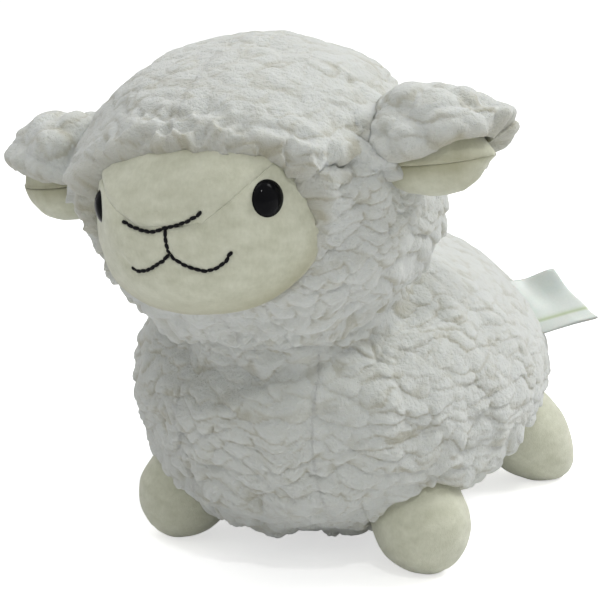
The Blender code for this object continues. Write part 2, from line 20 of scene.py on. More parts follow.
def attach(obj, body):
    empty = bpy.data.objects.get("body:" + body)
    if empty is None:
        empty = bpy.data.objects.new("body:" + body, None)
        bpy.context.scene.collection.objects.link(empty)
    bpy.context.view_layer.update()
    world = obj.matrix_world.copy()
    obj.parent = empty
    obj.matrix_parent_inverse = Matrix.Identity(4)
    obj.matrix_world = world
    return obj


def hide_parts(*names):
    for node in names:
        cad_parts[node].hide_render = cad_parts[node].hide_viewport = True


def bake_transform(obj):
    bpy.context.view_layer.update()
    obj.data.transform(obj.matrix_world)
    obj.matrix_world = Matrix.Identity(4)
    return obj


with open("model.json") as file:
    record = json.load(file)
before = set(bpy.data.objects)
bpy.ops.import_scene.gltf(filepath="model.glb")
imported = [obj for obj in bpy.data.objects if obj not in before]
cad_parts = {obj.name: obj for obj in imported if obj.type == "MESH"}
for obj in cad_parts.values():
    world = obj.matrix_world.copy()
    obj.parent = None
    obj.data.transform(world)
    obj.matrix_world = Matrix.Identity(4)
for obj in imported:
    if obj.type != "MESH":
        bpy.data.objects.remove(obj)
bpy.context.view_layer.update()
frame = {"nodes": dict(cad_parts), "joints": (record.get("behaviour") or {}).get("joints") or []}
nodes = frame["nodes"]

# %% [markdown]
# The camera comes first. It stands where the photographer's did: a little to the sheep's left and
# above its eyes, far enough away that the perspective is weak.

# %% Camera
CAMERA_PLACE = Vector((0.26356, -0.59173, 0.23917))
CAMERA_AIM = Vector((-0.0085, 0.0098, 0.0763))
CAMERA_ROLL = math.radians(-0.24)
CAMERA_LENS = 123.8
lens = bpy.data.cameras.new("camera")
lens.lens = CAMERA_LENS
lens.sensor_width = 36.0
camera = bpy.data.objects.new("camera", lens)
bpy.context.collection.objects.link(camera)
looking = (CAMERA_AIM - CAMERA_PLACE).to_track_quat("-Z", "Y").to_matrix().to_4x4()
camera.matrix_world = (Matrix.Translation(CAMERA_PLACE) @ looking
                       @ Matrix.Rotation(CAMERA_ROLL, 4, "Z"))
bpy.context.scene.camera = camera
print("camera at", [round(v, 3) for v in CAMERA_PLACE])

# %% [markdown]
# The toy's main forms are the same as the solids': an egg for the body, and a boxy ball with a
# muzzle for the head. They are repeated here as formulas, because a fine surface can be laid on a
# formula at any density, and each point's way out of the surface is known exactly.

# %% Forms of the body and the head
MIDDLE = Vector((0.0037, -0.0022, 0.0))
TORSO_PLACE = MIDDLE + Vector((0.0, 0.0223, 0.0527))
TORSO_PITCH = math.radians(-1.0)
TORSO_HALF = {"width": 0.0650, "front": 0.0825, "back": 0.0825, "top": 0.0508, "bottom": 0.0504}
HEAD_PLACE = MIDDLE + Vector((-0.0012, -0.0397, 0.1236))
HEAD_PITCH = math.radians(15.7)
HEAD_ROLL = math.radians(-7.3)
HEAD_HALF = {"width": 0.0493, "front": 0.0472, "back": 0.0464, "top": 0.0450, "bottom": 0.0450}
HEAD_SQUARE = 2.4
MUZZLE_PROUD = 0.0150
MUZZLE_SPREAD = math.radians(37.0)
MUZZLE_FALL = 2.4
MUZZLE_RISE = math.radians(10.0)
torso_frame = Matrix.Translation(TORSO_PLACE) @ Matrix.Rotation(TORSO_PITCH, 4, "X")
head_frame = (Matrix.Translation(HEAD_PLACE) @ Matrix.Rotation(HEAD_ROLL, 4, "Y")
              @ Matrix.Rotation(HEAD_PITCH, 4, "X"))
for name, middle in (("torso", TORSO_PLACE), ("head", HEAD_PLACE)):
    print(name, "at", [round(v * 1000) for v in middle])

# %% [markdown]
# A form takes ways out from its middle, one to a row, and gives the places where they leave its
# surface. With an inset it gives the form that lies that much deeper.

# %% Forms as formulas
def to_world(matrix, points):
    """Points given as rows, moved by a 4 by 4 matrix."""
    m = np.array(matrix)
    return points @ m[:3, :3].T + m[:3, 3]


def to_local(matrix, points):
    return to_world(matrix.inverted(), points)


def egg(directions, half, inset=0.0):
    along = np.where(directions[:, 1] < 0.0, half["front"], half["back"]) - inset
    high = np.where(directions[:, 2] > 0.0, half["top"], half["bottom"]) - inset
    return directions * np.column_stack([np.full(len(directions), half["width"] - inset),
                                         along, high])


def in_head(points):
    """Points seen from the head's middle: to its left, back and up."""
    return to_local(head_frame, points)


def unit(rows):
    return rows / np.maximum(np.linalg.norm(rows, axis=1, keepdims=True), 1e-12)


def torso_form(directions, inset=0.0):
    return egg(unit(directions), TORSO_HALF, inset)


def head_form(directions, inset=0.0):
    d = unit(directions)
    boxy = (np.abs(d) ** HEAD_SQUARE).sum(1) ** (-1.0 / HEAD_SQUARE)
    ahead = np.array([0.0, -math.cos(MUZZLE_RISE), math.sin(MUZZLE_RISE)])
    off = np.arccos(np.clip(d @ ahead, -1.0, 1.0))
    swelling = MUZZLE_PROUD * np.exp(-(off / MUZZLE_SPREAD) ** MUZZLE_FALL)
    return egg(d, HEAD_HALF, inset) * boxy[:, None] + d * swelling[:, None]


muzzle = head_form(np.array([[0.0, -1.0, 0.0]]))[0]
print("muzzle at", [round(v * 1000) for v in muzzle], "in the head's frame")

# %% [markdown]
# Loose filling never fills a cover evenly. Each lump is a way out from the middle, how wide it
# spreads, in radians, and how high it stands. Below 0 the filling has settled and left a hollow.

# %% Lumps and hollows
TORSO_LUMPS = (((0.62, 0.40, 0.66), 0.52, -0.0042),
               ((0.80, 0.00, -0.60), 0.36, -0.0032))
HEAD_LUMPS = (((-0.74, -0.22, 0.63), 0.45, 0.0012),
              ((0.40, 0.40, 0.82), 0.48, -0.0022),
              ((-0.86, -0.42, -0.28), 0.34, -0.0026),
              ((0.86, 0.48, -0.16), 0.40, 0.0026),
              ((0.10, -0.62, -0.78), 0.62, -0.0038),
              ((0.0, 0.10, -1.0), 0.60, -0.0022))


def fade(distance, width):
    """1 at no distance, falling off to 0 over about a width on either side."""
    return np.exp(-(distance / width) ** 2)


def settle(points, centre, lumps):
    """Moves points out where the filling stands proud, and in where it has settled."""
    ways = unit(points - np.array(centre))
    shift = 0
    for way, width, height in lumps:
        off = np.arccos(np.clip(ways @ unit(np.array([way]))[0], -1.0, 1.0))
        shift = shift + height * fade(off, width)
    return points + ways * shift[:, None]


print("lumps", len(TORSO_LUMPS), "on the torso,", len(HEAD_LUMPS), "on the head")

# %% [markdown]
# Sherpa fleece isn't smooth: its pile mats into soft clumps a few millimetres across, with thin
# creases where one clump lies against the next. A field of scattered points gives this. Each spot
# belongs to its nearest point, and where the two nearest are equally near there is a crease.

# %% Noise fields
CELL_PRIMES = (73856093, 19349663, 83492791)
SEED_PRIME = 2654435761
MIXERS = ((15, 2246822519), (13, 3266489917))
WORD = 0xFFFFFFFF
FRACTION = 0xFFFFFF


def scatter(cells, seed):
    """A steady pseudo-random number from 0 to 1 for each whole-numbered cell."""
    n = (cells[..., 0] * CELL_PRIMES[0]) ^ (cells[..., 1] * CELL_PRIMES[1])
    n = (n ^ (cells[..., 2] * CELL_PRIMES[2]) ^ (seed * SEED_PRIME)) & WORD
    for shift, prime in MIXERS:
        n = ((n ^ (n >> shift)) * prime) & WORD
    return ((n ^ (n >> 16)) & FRACTION) / float(FRACTION)


def ramp(value, low, high):
    """0 below low, 1 above high, and an easy curve between."""
    t = np.clip((value - low) / (high - low), 0.0, 1.0)
    return t * t * (3.0 - 2.0 * t)


def drift(points, size, seed):
    """Smooth noise from -1 to 1 that changes over about that size."""
    p = points / size
    cell = np.floor(p).astype(np.int64)
    f = ramp(p - cell, 0.0, 1.0)
    total = np.zeros(len(points))
    for corner in product((0, 1), repeat=3):
        share = np.prod(np.where(np.array(corner) == 1, f, 1.0 - f), axis=1)
        total += share * scatter(cell + np.array(corner), seed)
    return total * 2.0 - 1.0


def clumps(points, size, seed):
    """Distances to the two nearest scattered points, in sizes, and how far below the nearest."""
    p = points / size
    cell = np.floor(p).astype(np.int64)
    near = np.full(len(points), 9.0)
    next_near = np.full(len(points), 9.0)
    below = np.zeros(len(points))
    for step in product((-1, 0, 1), repeat=3):
        c = cell + np.array(step)
        spot = np.column_stack([scatter(c, seed + k) for k in (11, 23, 37)])
        far = np.linalg.norm(c + spot - p, axis=1)
        next_near = np.minimum(next_near, np.maximum(near, far))
        below = np.where(far < near, (c + spot - p)[:, 2], below)
        near = np.minimum(near, far)
    return near, next_near, below


def roughened(base, points, layers, seed=0):
    """Adds layers of smooth noise: each says how much, over what size and with which draw."""
    for share, size, draw in layers:
        base = base + share * drift(points, size, seed + draw)
    return base


print("noise at the origin", round(float(drift(np.zeros((1, 3)), 1.0, 1)[0]), 3))

# %% [markdown]
# The pile has two layers, wide clumps and small tufts on them. Warping keeps a clump from being
# round, and stretching lays it sideways, as hanging pile lies. A crease is deep only where the
# pile is matted and under a clump's lower lip. Broad drifts keep all this from looking like a
# pattern.

# %% Pile
PILE_CLUMP = 0.0062
PILE_TUFT = 0.0031
PILE_HEIGHT = 0.0025
PILE_STRETCH = np.array([0.78, 0.78, 1.28])
PILE_WARPS = ((0.0034, 0.0085, (1, 2, 3)), (0.0009, 0.0032, (4, 5, 6)))
PILE_DRIFTS = ((0.0015, 0.0150, 9), (0.0009, 0.0080, 10), (0.00016, 0.0020, 12))
MATTED_PATCH = 0.0110
TUFTED_PATCH = 0.0070
CLUMP_CREASE = 0.22
TUFT_CREASE = 0.30
CLUMP_DOME = 0.8
HEIGHT_OF = {"lean": 0.30, "crease": 0.26, "small": 0.12, "tuft": 0.34}
DEPTH_OF = {"crease": 0.70, "small": 0.18}


def pile(points, seed, roughness):
    """Height of the fleece over its cloth, and how deep in a crease each point lies, 0 to 1."""
    warp = sum(np.column_stack([drift(points, size, seed + k) for k in draws]) * reach
               for reach, size, draws in PILE_WARPS)
    q = (points + warp) * PILE_STRETCH
    near, next_near, below = clumps(q, PILE_CLUMP, seed)
    near_small, next_small, below_small = clumps(q, PILE_TUFT, seed + 50)
    matted = 0.45 + 0.55 * ramp(drift(points, MATTED_PATCH, seed + 7), -0.55, 0.45)
    tufted = ramp(drift(points, TUFTED_PATCH, seed + 8), -0.5, 0.5)
    lip = 0.10 + 0.90 * ramp(below, -0.15, 0.30)
    crease = fade(next_near - near, CLUMP_CREASE) * matted * lip
    small = fade(next_small - near_small, TUFT_CREASE) * tufted * ramp(below_small, -0.1, 0.3)
    lean = np.clip(below, -0.5, 0.5) * matted
    height = PILE_HEIGHT * ((0.45 + 0.45 * matted) * (CLUMP_DOME - near ** 2)
                            + HEIGHT_OF["lean"] * lean - HEIGHT_OF["crease"] * crease
                            - HEIGHT_OF["small"] * small
                            + HEIGHT_OF["tuft"] * tufted * (CLUMP_DOME - near_small ** 2))
    height = roughened(height, points, PILE_DRIFTS, seed)
    # This crease depth later sets the painted crease shade in the fleece's colour.
    depth = np.clip(DEPTH_OF["crease"] * crease + DEPTH_OF["small"] * small, 0.0, 1.0)
    return height * roughness, depth * np.clip(roughness, 0.0, 1.0)


print("pile clumps", PILE_CLUMP, "tufts", PILE_TUFT)

# %% [markdown]
# Every material is a plain shader with noise on the object's own coordinates. These helpers add
# one thing each: a noise, a number kept in the mesh, a blend of two colours, or a fine relief.

# %% Material helpers
SHEEN_ROUGHNESS = 0.5
SPECULAR = "Specular IOR Level"


def plug(tree, node, inputs):
    """Gives a node's inputs their values, or links where a value is another node's output."""
    for socket, value in inputs.items():
        if isinstance(value, bpy.types.NodeSocket):
            tree.links.new(value, node.inputs[socket])
        else:
            node.inputs[socket].default_value = value
    return node


def finish(name, roughness, sheen=0.0, more=()):
    """A new material, its node tree and its Principled shader."""
    mat = bpy.data.materials.new(name)
    mat.use_nodes = True
    tree = mat.node_tree
    shader = plug(tree, tree.nodes["Principled BSDF"],
                  {"Roughness": roughness, "Sheen Weight": sheen,
                   "Sheen Roughness": SHEEN_ROUGHNESS, **dict(more)})
    return mat, tree, shader


def grain(tree, scale, detail=2.0, stretch=(1, 1, 1)):
    """Noise on Object coordinates, with its own stretch."""
    where = tree.nodes.new("ShaderNodeTexCoord").outputs["Object"]
    turn = plug(tree, tree.nodes.new("ShaderNodeMapping"), {"Scale": stretch, "Vector": where})
    noise = plug(tree, tree.nodes.new("ShaderNodeTexNoise"),
                 {"Scale": scale, "Detail": detail, "Vector": turn.outputs["Vector"]})
    return noise.outputs["Fac"]


def stored(tree, name):
    """Reads a number that the mesh keeps for each of its points."""
    node = tree.nodes.new("ShaderNodeAttribute")
    node.attribute_name = name
    return node.outputs["Fac"]


def blend_colours(tree, share, low, high):
    mix = tree.nodes.new("ShaderNodeMix")
    mix.data_type = "RGBA"
    return plug(tree, mix, {"A": low, "B": high, "Factor": share}).outputs["Result"]


def math_node(tree, operation, *values):
    node = tree.nodes.new("ShaderNodeMath")
    node.operation = operation
    return plug(tree, node, dict(enumerate(values))).outputs["Value"]


def relief(tree, shader, height, distance, strength):
    node = plug(tree, tree.nodes.new("ShaderNodeBump"),
                {"Distance": distance, "Strength": strength, "Height": height})
    plug(tree, shader, {"Normal": node.outputs["Normal"]})


print("material helpers ready")

# %% [markdown]
# Fleece is white on its clumps. In its creases, along its rolled edges and on its hidden inner
# side it is painted a darker yellowish grey: painted shade, standing in for the shadow there and
# the light bounced from fibre to fibre. The mesh keeps each point's crease depth for the shader,
# so the painted shade always lies in the crease. Sheen gives the pale rim that a pile has at its
# edges.

# %% Fleece
FLEECE_TOP = (0.65, 0.67, 0.64, 1.0)
FLEECE_CREASE_SHADE = (0.42, 0.40, 0.30, 1.0)
fleece_mat, tree, shader = finish("sherpa_fleece", 0.95, 0.25, {
    "Subsurface Weight": 0.45, "Subsurface Radius": (1.0, 0.95, 0.8), "Subsurface Scale": 0.0028})
# Painted shade: the crease depth kept in the mesh blends the fleece toward the darker yellowish
# grey.
painted_crease_shade = blend_colours(tree, stored(tree, "crease"), FLEECE_TOP, FLEECE_CREASE_SHADE)
plug(tree, shader, {"Base Color": painted_crease_shade})
curl = grain(tree, 900.0, 3.0)
fibre = grain(tree, 2600.0)
relief(tree, shader, math_node(tree, "MULTIPLY_ADD", fibre, 0.45, curl), 0.0009, 0.9)
print("fleece", FLEECE_TOP[:3], "in creases", FLEECE_CREASE_SHADE[:3])

# %% [markdown]
# Velour is cream. Its short pile lies this way and that, so its tone wanders. Where the mesh marks
# it, it is painted a deep olive: painted shade where it is folded under the fleece's edge, along
# the face's lower part and in the ears' curls.

# %% Velour
VELOUR_LIGHT = (0.67, 0.68, 0.55, 1.0)
VELOUR_DARK = (0.42, 0.43, 0.30, 1.0)
VELOUR_FOLD_SHADE = (0.27, 0.25, 0.12, 1.0)
velour_mat, tree, shader = finish("cream_velour", 0.88, 0.35, {
    "Subsurface Weight": 0.08, "Subsurface Radius": (1.0, 0.9, 0.7), "Subsurface Scale": 0.0010})
nap = grain(tree, 190.0, 5.0, (1, 1, 1.7))
flecks = grain(tree, 1100.0, 2.0, (1, 1, 0.6))
lie = math_node(tree, "MULTIPLY_ADD", flecks, 0.45, nap)
tone = blend_colours(tree, lie, VELOUR_DARK, VELOUR_LIGHT)
# Painted shade: the value kept in the mesh blends the velour's tone toward a deep olive.
shade = blend_colours(tree, stored(tree, "crease"), tone, VELOUR_FOLD_SHADE)
plug(tree, shader, {"Base Color": shade})
hairs = grain(tree, 3200.0, 2.0, (1, 1, 0.55))
relief(tree, shader, math_node(tree, "MULTIPLY_ADD", nap, 0.5, hairs), 0.0003, 0.5)
print("velour", VELOUR_LIGHT[:3], "to", VELOUR_DARK[:3])

# %% [markdown]
# The filling is matt white fluff, an eye is black and polished, thread is black with a fine ply,
# and a washer is pale moulded plastic. A row holds the roughness, sheen and specular level, the
# noise's scale and detail, the two greys that it blends, and the relief's depth and strength.

# %% Filling, eyes, thread and washers
INK, JET, TWIST = (0.002, 0.002, 0.003, 1), (0.005, 0.005, 0.006, 1), (0.009, 0.009, 0.010, 1)
PLAIN = {
    "polyester_filling": (1.0, 0.2, 0.5, 180.0, 4.0, (0.78, 0.78, 0.76, 1), (0.9, 0.9, 0.88, 1),
                          0.001, 0.6),
    "polished_eye": (0.08, 0.0, 0.05, 400.0, 2.0, INK, JET, 0.0, 0.0),
    "black_thread": (0.7, 0.0, 0.10, 3000.0, 2.0, INK, TWIST, 0.0002, 0.5),
    "moulded_washer": (0.5, 0.0, 0.5, 500.0, 2.0, (0.70, 0.70, 0.68, 1), (0.78, 0.78, 0.76, 1),
                       0.0, 0.0)}
for name, (roughness, sheen, shine, scale, detail, low, high, depth, strength) in PLAIN.items():
    mat, tree, shader = finish(name, roughness, sheen, {SPECULAR: shine})
    noise = grain(tree, scale, detail)
    plug(tree, shader, {"Base Color": blend_colours(tree, noise, low, high)})
    if strength:
        relief(tree, shader, noise, depth, strength)
filling_mat, eye_mat, thread_mat, washer_mat = (bpy.data.materials[name] for name in PLAIN)
print("materials", len(bpy.data.materials))

# %% [markdown]
# A fine, even skin for each form starts as a cube, cut into a grid and blown up to a ball. Unlike
# a globe it has no crowded poles, so the pile has the same grain everywhere.

# %% Skins
def ball_cage(cuts):
    bm = bmesh.new()
    bmesh.ops.create_cube(bm, size=2.0)
    bmesh.ops.subdivide_edges(bm, edges=bm.edges[:], cuts=cuts, use_grid_fill=True)
    return bm


def places(bm):
    return np.array([v.co[:] for v in bm.verts])


def normals_of(bm):
    bm.normal_update()
    return np.array([v.normal[:] for v in bm.verts])


def put(bm, points):
    for v, p in zip(bm.verts, points):
        v.co = p


def even(points):
    """Spreads the grid's lines evenly over the ball before it is shaped."""
    return unit(np.tan(points * math.pi / 4.0))


def new_piece(name, bm, mat):
    mesh = bpy.data.meshes.new(name)
    bm.to_mesh(mesh)
    bm.free()
    mesh.materials.append(mat)
    obj = bpy.data.objects.new(name, mesh)
    bpy.context.collection.objects.link(obj)
    mesh.polygons.foreach_set("use_smooth", [True] * len(mesh.polygons))
    return obj


def store(obj, name, values):
    """Keeps a number for each point of the mesh, for its material to read."""
    layer = obj.data.attributes.new(name, "FLOAT", "POINT")
    layer.data.foreach_set("value", values)


print("skins ready")

# %% [markdown]
# A pattern piece is cut from a skin: planes make its straight seams, and a test on the faces
# leaves its openings free. A cut through whole faces leaves a staircase, which is then eased.

# %% Cutting
EASE_ROUNDS = 6


def cut(bm, plane_point, plane_normal, drop=False):
    """Cuts the mesh at a plane, and may drop the side that the normal points to."""
    bmesh.ops.bisect_plane(bm, geom=bm.verts[:] + bm.edges[:] + bm.faces[:],
                           plane_co=plane_point, plane_no=plane_normal, clear_outer=drop)


def drop_faces(bm, inside):
    """Deletes the faces whose middle fulfils a test on rows of points."""
    middles = np.array([f.calc_center_median()[:] for f in bm.faces])
    gone = [f for f, yes in zip(bm.faces[:], inside(middles)) if yes]
    bmesh.ops.delete(bm, geom=gone, context="FACES")


def rim(bm):
    """Indices of the vertices on open borders."""
    bm.verts.ensure_lookup_table()
    bm.verts.index_update()
    return np.array(sorted({v.index for e in bm.edges if e.is_boundary for v in e.verts}))


def ease_rim(bm, held):
    """Evens the staircase that whole faces leave along an open border, except at its seams."""
    border = rim(bm)
    loose = [bm.verts[i] for i, stays in zip(border, held(places(bm)[border])) if not stays]
    for k in range(EASE_ROUNDS):
        moved = []
        for v in loose:
            beside = [e.other_vert(v).co for e in v.link_edges if e.is_boundary]
            moved.append(v.co * 0.5 + sum(beside, Vector()) * (0.5 / len(beside)))
        for v, co in zip(loose, moved):
            v.co = co


print("rims are eased", EASE_ROUNDS, "times")

# %% [markdown]
# Two panels that meet at a seam have to agree on the way out of the surface there, or the seam
# gapes. So the way out is looked up in the whole skin, not taken from the cut panel.

# %% Lookups
def tree_of(points):
    """A lookup of the nearest among some points."""
    tree = KDTree(len(points))
    for i, p in enumerate(points):
        tree.insert(p, i)
    tree.balance()
    return tree


def nearest_of(points, targets):
    """Distance from each point to the nearest of the targets."""
    tree = tree_of(targets)
    return np.array([tree.find(p)[2] for p in points])


def skin_normals(bm):
    """Looks up the way out of a whole skin."""
    ways = normals_of(bm)
    tree = tree_of(places(bm))

    def lookup(points):
        found = np.empty_like(points)
        for row, p in enumerate(points):
            three = tree.find_n(p, 3)
            share = np.array([1.0 / (f[2] + 1e-5) for f in three])
            found[row] = share @ ways[[f[1] for f in three]]
        return unit(found)
    return lookup


print("lookups ready")

# %% [markdown]
# The fleece panels. On the real toy each is a flat piece of cloth that the filling rounds out.
# Here a panel is cut from the form's skin along its seams, given a backing, and only its outer
# side gets the pile. At a seam and round an opening the pile rolls down to the cloth, as sewn
# fleece does.

# %% Fleece panels
WALL = 0.0032
SEAM_DIP = 0.0011
SEAM_ROLL = 0.0035
SEAM_LINE = 0.0001
PILE_SAG = np.array([0.0, 0.0, -0.45])
# Painted crease shade given to the fleece's hidden inner wall.
INSIDE_SHADE = 0.6


def rolled(edge, roll):
    """How near the edge a point is, 0 to 1, and how far a quarter circle has dropped there."""
    inward = np.clip(1.0 - edge / roll, 0.0, 1.0)
    return inward, 1.0 - np.sqrt(np.clip(1.0 - inward ** 2, 0.0, 1.0))


def wall_in(bm, wall, outer):
    """Backs an open skin, moves its outer side and tells each vertex's old number, -1 inside."""
    numbers = {v.co[:]: i for i, v in enumerate(bm.verts)}
    bmesh.ops.solidify(bm, geom=bm.faces[:], thickness=wall)
    bm.verts.index_update()
    which = [numbers.get(v.co[:], -1) for v in bm.verts]
    for v, i in zip(bm.verts, which):
        if i >= 0:
            v.co = outer[i]
    for f in bm.faces:
        if 0 < sum(which[v.index] < 0 for v in f.verts) < len(f.verts):
            for e in f.edges:
                e.smooth = False
    bmesh.ops.recalc_face_normals(bm, faces=bm.faces[:])
    return which


def dress(name, bm, seed, roughness, swell, wall=WALL, dip=SEAM_DIP, roll=SEAM_ROLL,
          normals_at=None, on_seam=None, edge_at=None, lean=None):
    """Raises the pile on an open skin, backs it with a wall, and keeps crease depth and painted
    shade.
    """
    points, normals = places(bm), normals_of(bm)
    if normals_at:
        normals = normals_at(points)
    border = points[rim(bm)]
    sewn = on_seam(border) if on_seam else np.zeros(len(border), bool)
    edge = np.maximum(edge_at(points), 0.0) if edge_at else nearest_of(points, border[~sewn])
    seam = nearest_of(points, border[sewn]) if sewn.any() else np.ones(len(points))
    height, depth = pile(points, seed, roughness(points))
    sag = PILE_SAG * np.clip(height, 0.0, 1.0)[:, None]
    inward, drop = rolled(edge, roll)
    height = height * ramp(edge, -0.0005, 0.0030) - dip * drop + swell(points, edge)
    height = height - SEAM_LINE * fade(seam, 0.0011)
    outer = points + normals * height[:, None] + sag
    if lean:
        outer = outer + lean(points, edge)
    which = wall_in(bm, wall, outer)
    obj = new_piece(name, bm, fleece_mat)
    # Painted shade: the rolled rim and the seams count as deeper in a crease, and the hidden inner
    # wall gets a fixed depth, so the fleece's colour darkens there.
    depth = np.clip(depth + 0.5 * inward + 0.06 * fade(seam, 0.0008), 0.0, 1.0)
    store(obj, "crease", [depth[i] if i >= 0 else INSIDE_SHADE for i in which])
    print(name, len(obj.data.polygons), "faces, pile", round(height.min() * 1000, 2),
          "to", round(height.max() * 1000, 2), "mm")
    return obj


print("panel wall", WALL)

# %% [markdown]
# The frame's joints say where the neck, the hips and the ears are. The body's skin bulges over
# the ball-shaped neck, with a fillet from one form to the other.

# %% Torso skin
SIDES = {"left": 1, "right": -1}
TORSO_CUTS = 147
NECK_BALL = 0.0362
NECK_FILLET = 0.0036
NECK_TILT = math.radians(25.0)
NECK_AXIS = np.array([0.0, -math.sin(NECK_TILT), math.cos(NECK_TILT)])
HIP_OPENING = 0.0154
joint_at = {j["name"]: np.array(j["pos_m"]) for j in frame["joints"]}
NECK_PLACE = joint_at["head_turn"]
hips = [at for name, at in joint_at.items() if name.endswith("_leg_swing")]
ears = {name.split("_")[0]: at for name, at in joint_at.items() if name.endswith("_ear_swing")}


def away_from(points, place):
    return np.linalg.norm(points - place, axis=1)


def round_neck(points):
    """Lifts the skin over the ball-shaped neck, with a fillet where the two forms meet."""
    r = away_from(points, NECK_PLACE)
    risen = 0.5 * (r + NECK_BALL + np.sqrt((r - NECK_BALL) ** 2 + NECK_FILLET ** 2))
    return NECK_PLACE + (points - NECK_PLACE) * (risen / np.maximum(r, 1e-6))[:, None]


skin = ball_cage(TORSO_CUTS)
torso_egg = to_world(torso_frame, torso_form(even(places(skin))))
put(skin, round_neck(settle(torso_egg, TORSO_PLACE, TORSO_LUMPS)))
torso_normals = skin_normals(skin)
print("torso skin", len(skin.faces))

# %% [markdown]
# The body has two side panels that meet along the spine and a belly gusset between them. The
# chest is drawn in where it meets the head, so the neck's closing thread lies deep in the fleece,
# and the pile stands up round each paw.

# %% Body seams and openings
GUSSET_HALF = 0.0220
GUSSET_TOP = MIDDLE + Vector((0.0, 0.0150, 0.0800))
GUSSET_LEAN = math.radians(-16.0)
NECK_SHOWS = math.cos(math.radians(64.0))
SEAM_WIDTH = 2e-5
COLLAR_SWELL = -0.0018
COLLAR_REACH = 0.0080
HIP_SWELL = 0.0016
HIP_REACH = 0.0040
BACK_SMOOTH = 0.50
gusset_up = Matrix.Rotation(GUSSET_LEAN, 3, "X") @ Vector((0, 0, 1))


def body_swell(points, edge):
    """Extra height of the fleece near the neck and near each paw."""
    up = unit(points - NECK_PLACE) @ NECK_AXIS
    collar = fade(away_from(points, NECK_PLACE) - NECK_BALL, COLLAR_REACH)
    extra = COLLAR_SWELL * collar * ramp(-up, -0.25, 0.10)
    for hip in hips:
        extra = extra + HIP_SWELL * fade(away_from(points, hip) - HIP_OPENING, HIP_REACH)
    return extra * ramp(edge, 0.0, 0.0025)


def body_roughness(points):
    """The pile is brushed smoother on the back and the flanks than on the chest and the belly."""
    local = to_local(torso_frame, points)
    return 1.0 - BACK_SMOOTH * ramp(local[:, 2] + 0.7 * local[:, 1], 0.000, 0.045)


def body_edge(points):
    """Distance outside the nearest opening, the neck's or a hip's, below 0 within it."""
    up = unit(points - NECK_PLACE) @ NECK_AXIS
    away = (np.arccos(np.clip(up, -1, 1)) - math.acos(NECK_SHOWS)) * NECK_BALL
    for hip in hips:
        away = np.minimum(away, away_from(points, hip) - HIP_OPENING)
    return away


def above_gusset(points):
    return (points - np.array(GUSSET_TOP)) @ np.array(gusset_up)


def body_seams(points):
    """Which points of a border lie on the spine's seam or on the gusset's."""
    x = np.abs(points[:, 0] - MIDDLE.x)
    closing = (np.abs(above_gusset(points)) < SEAM_WIDTH) & (x < GUSSET_HALF)
    return (x < SEAM_WIDTH) | (np.abs(x - GUSSET_HALF) < SEAM_WIDTH) | closing


print("hips", len(hips), "gusset", GUSSET_HALF * 2, "wide")

# %% Body panels
def in_gusset(points):
    return (above_gusset(points) < 0.0) & (np.abs(points[:, 0] - MIDDLE.x) < GUSSET_HALF)


def gusset_side(side):
    return MIDDLE + Vector((side * GUSSET_HALF, 0, 0))


def side_panel(side):
    bm = skin.copy()
    cut(bm, MIDDLE, (-side, 0, 0), drop=True)
    cut(bm, gusset_side(side), (1, 0, 0))
    cut(bm, GUSSET_TOP, gusset_up)
    drop_faces(bm, in_gusset)
    return bm


def belly_panel():
    bm = skin.copy()
    for side in (1, -1):
        cut(bm, gusset_side(side), (side, 0, 0), drop=True)
    cut(bm, GUSSET_TOP, gusset_up, drop=True)
    return bm


for name, bm in (("body_fleece_left", side_panel(1)), ("body_fleece_right", side_panel(-1)),
                 ("belly_fleece", belly_panel())):
    drop_faces(bm, lambda p: body_edge(p) < 0.0)
    ease_rim(bm, body_seams)
    piece = dress("sherpa_" + name, bm, 101, body_roughness, body_swell,
                  normals_at=torso_normals, on_seam=body_seams, edge_at=body_edge)
    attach(piece, "torso")
    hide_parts(name)

# %% [markdown]
# The head's two fleece panels meet along the crown and leave an opening for the face. Round it
# the cut pile stands thick and overhangs the velour, so the opening's edge is scalloped.

# %% Head openings
FACE_HALF = (0.0360, 0.0242)
FACE_RISE = 0.0100
FACE_SQUARE = 2.3
FACE_WANDERS = ((0.0006, 0.0100, 301), (0.0005, 0.0040, 302))
HEAD_NECK = 0.0372
VISOR_START = (-0.030, 0.0215)
VISOR_BELOW_EAR = 0.0070
head_axes = np.array(head_frame.to_3x3())


def head_way(x, y, z):
    """A way given in the head's own frame: to its left, back and up."""
    return head_frame.to_3x3() @ Vector((x, y, z))


def face_reach(points):
    """Distance beyond the face's outline in the head's own front view, below 0 inside."""
    local = in_head(points)
    x, z = local[:, 0], local[:, 2] - FACE_RISE
    size = ((np.abs(x) / FACE_HALF[0]) ** FACE_SQUARE
            + (np.abs(z) / FACE_HALF[1]) ** FACE_SQUARE) ** (1.0 / FACE_SQUARE)
    away = (size - 1.0) * np.hypot(x, z) / np.maximum(size, 0.2)
    return np.where(local[:, 1] < 0.0, away, 1.0)


def face_edge(points):
    """The face's outline as the pile leaves it, wandering in and out from clump to clump."""
    return roughened(face_reach(points), points, FACE_WANDERS)


def head_edge(points):
    """Distance outside the nearest opening of the head, the face's or the neck's."""
    return np.minimum(face_edge(points), away_from(points, NECK_PLACE) - HEAD_NECK)


def visor(points):
    """Height above the line from the brow's corner back to the ear, and how much it counts."""
    local = in_head(points)
    ear = in_head(np.array([ears["left"]]))[0]
    back = ramp(local[:, 1], VISOR_START[0], ear[1])
    line = VISOR_START[1] + (ear[2] - VISOR_BELOW_EAR - VISOR_START[1]) * back
    beside = ramp(np.abs(local[:, 0]), 0.024, 0.031)
    before = ramp(-local[:, 1], -ear[1] - 0.004, -ear[1] + 0.003)
    return local[:, 2] - line + 0.0016 * drift(points, 0.0060, 620), beside * before


def crown_seam(points):
    return np.abs(in_head(points)[:, 0]) < SEAM_WIDTH


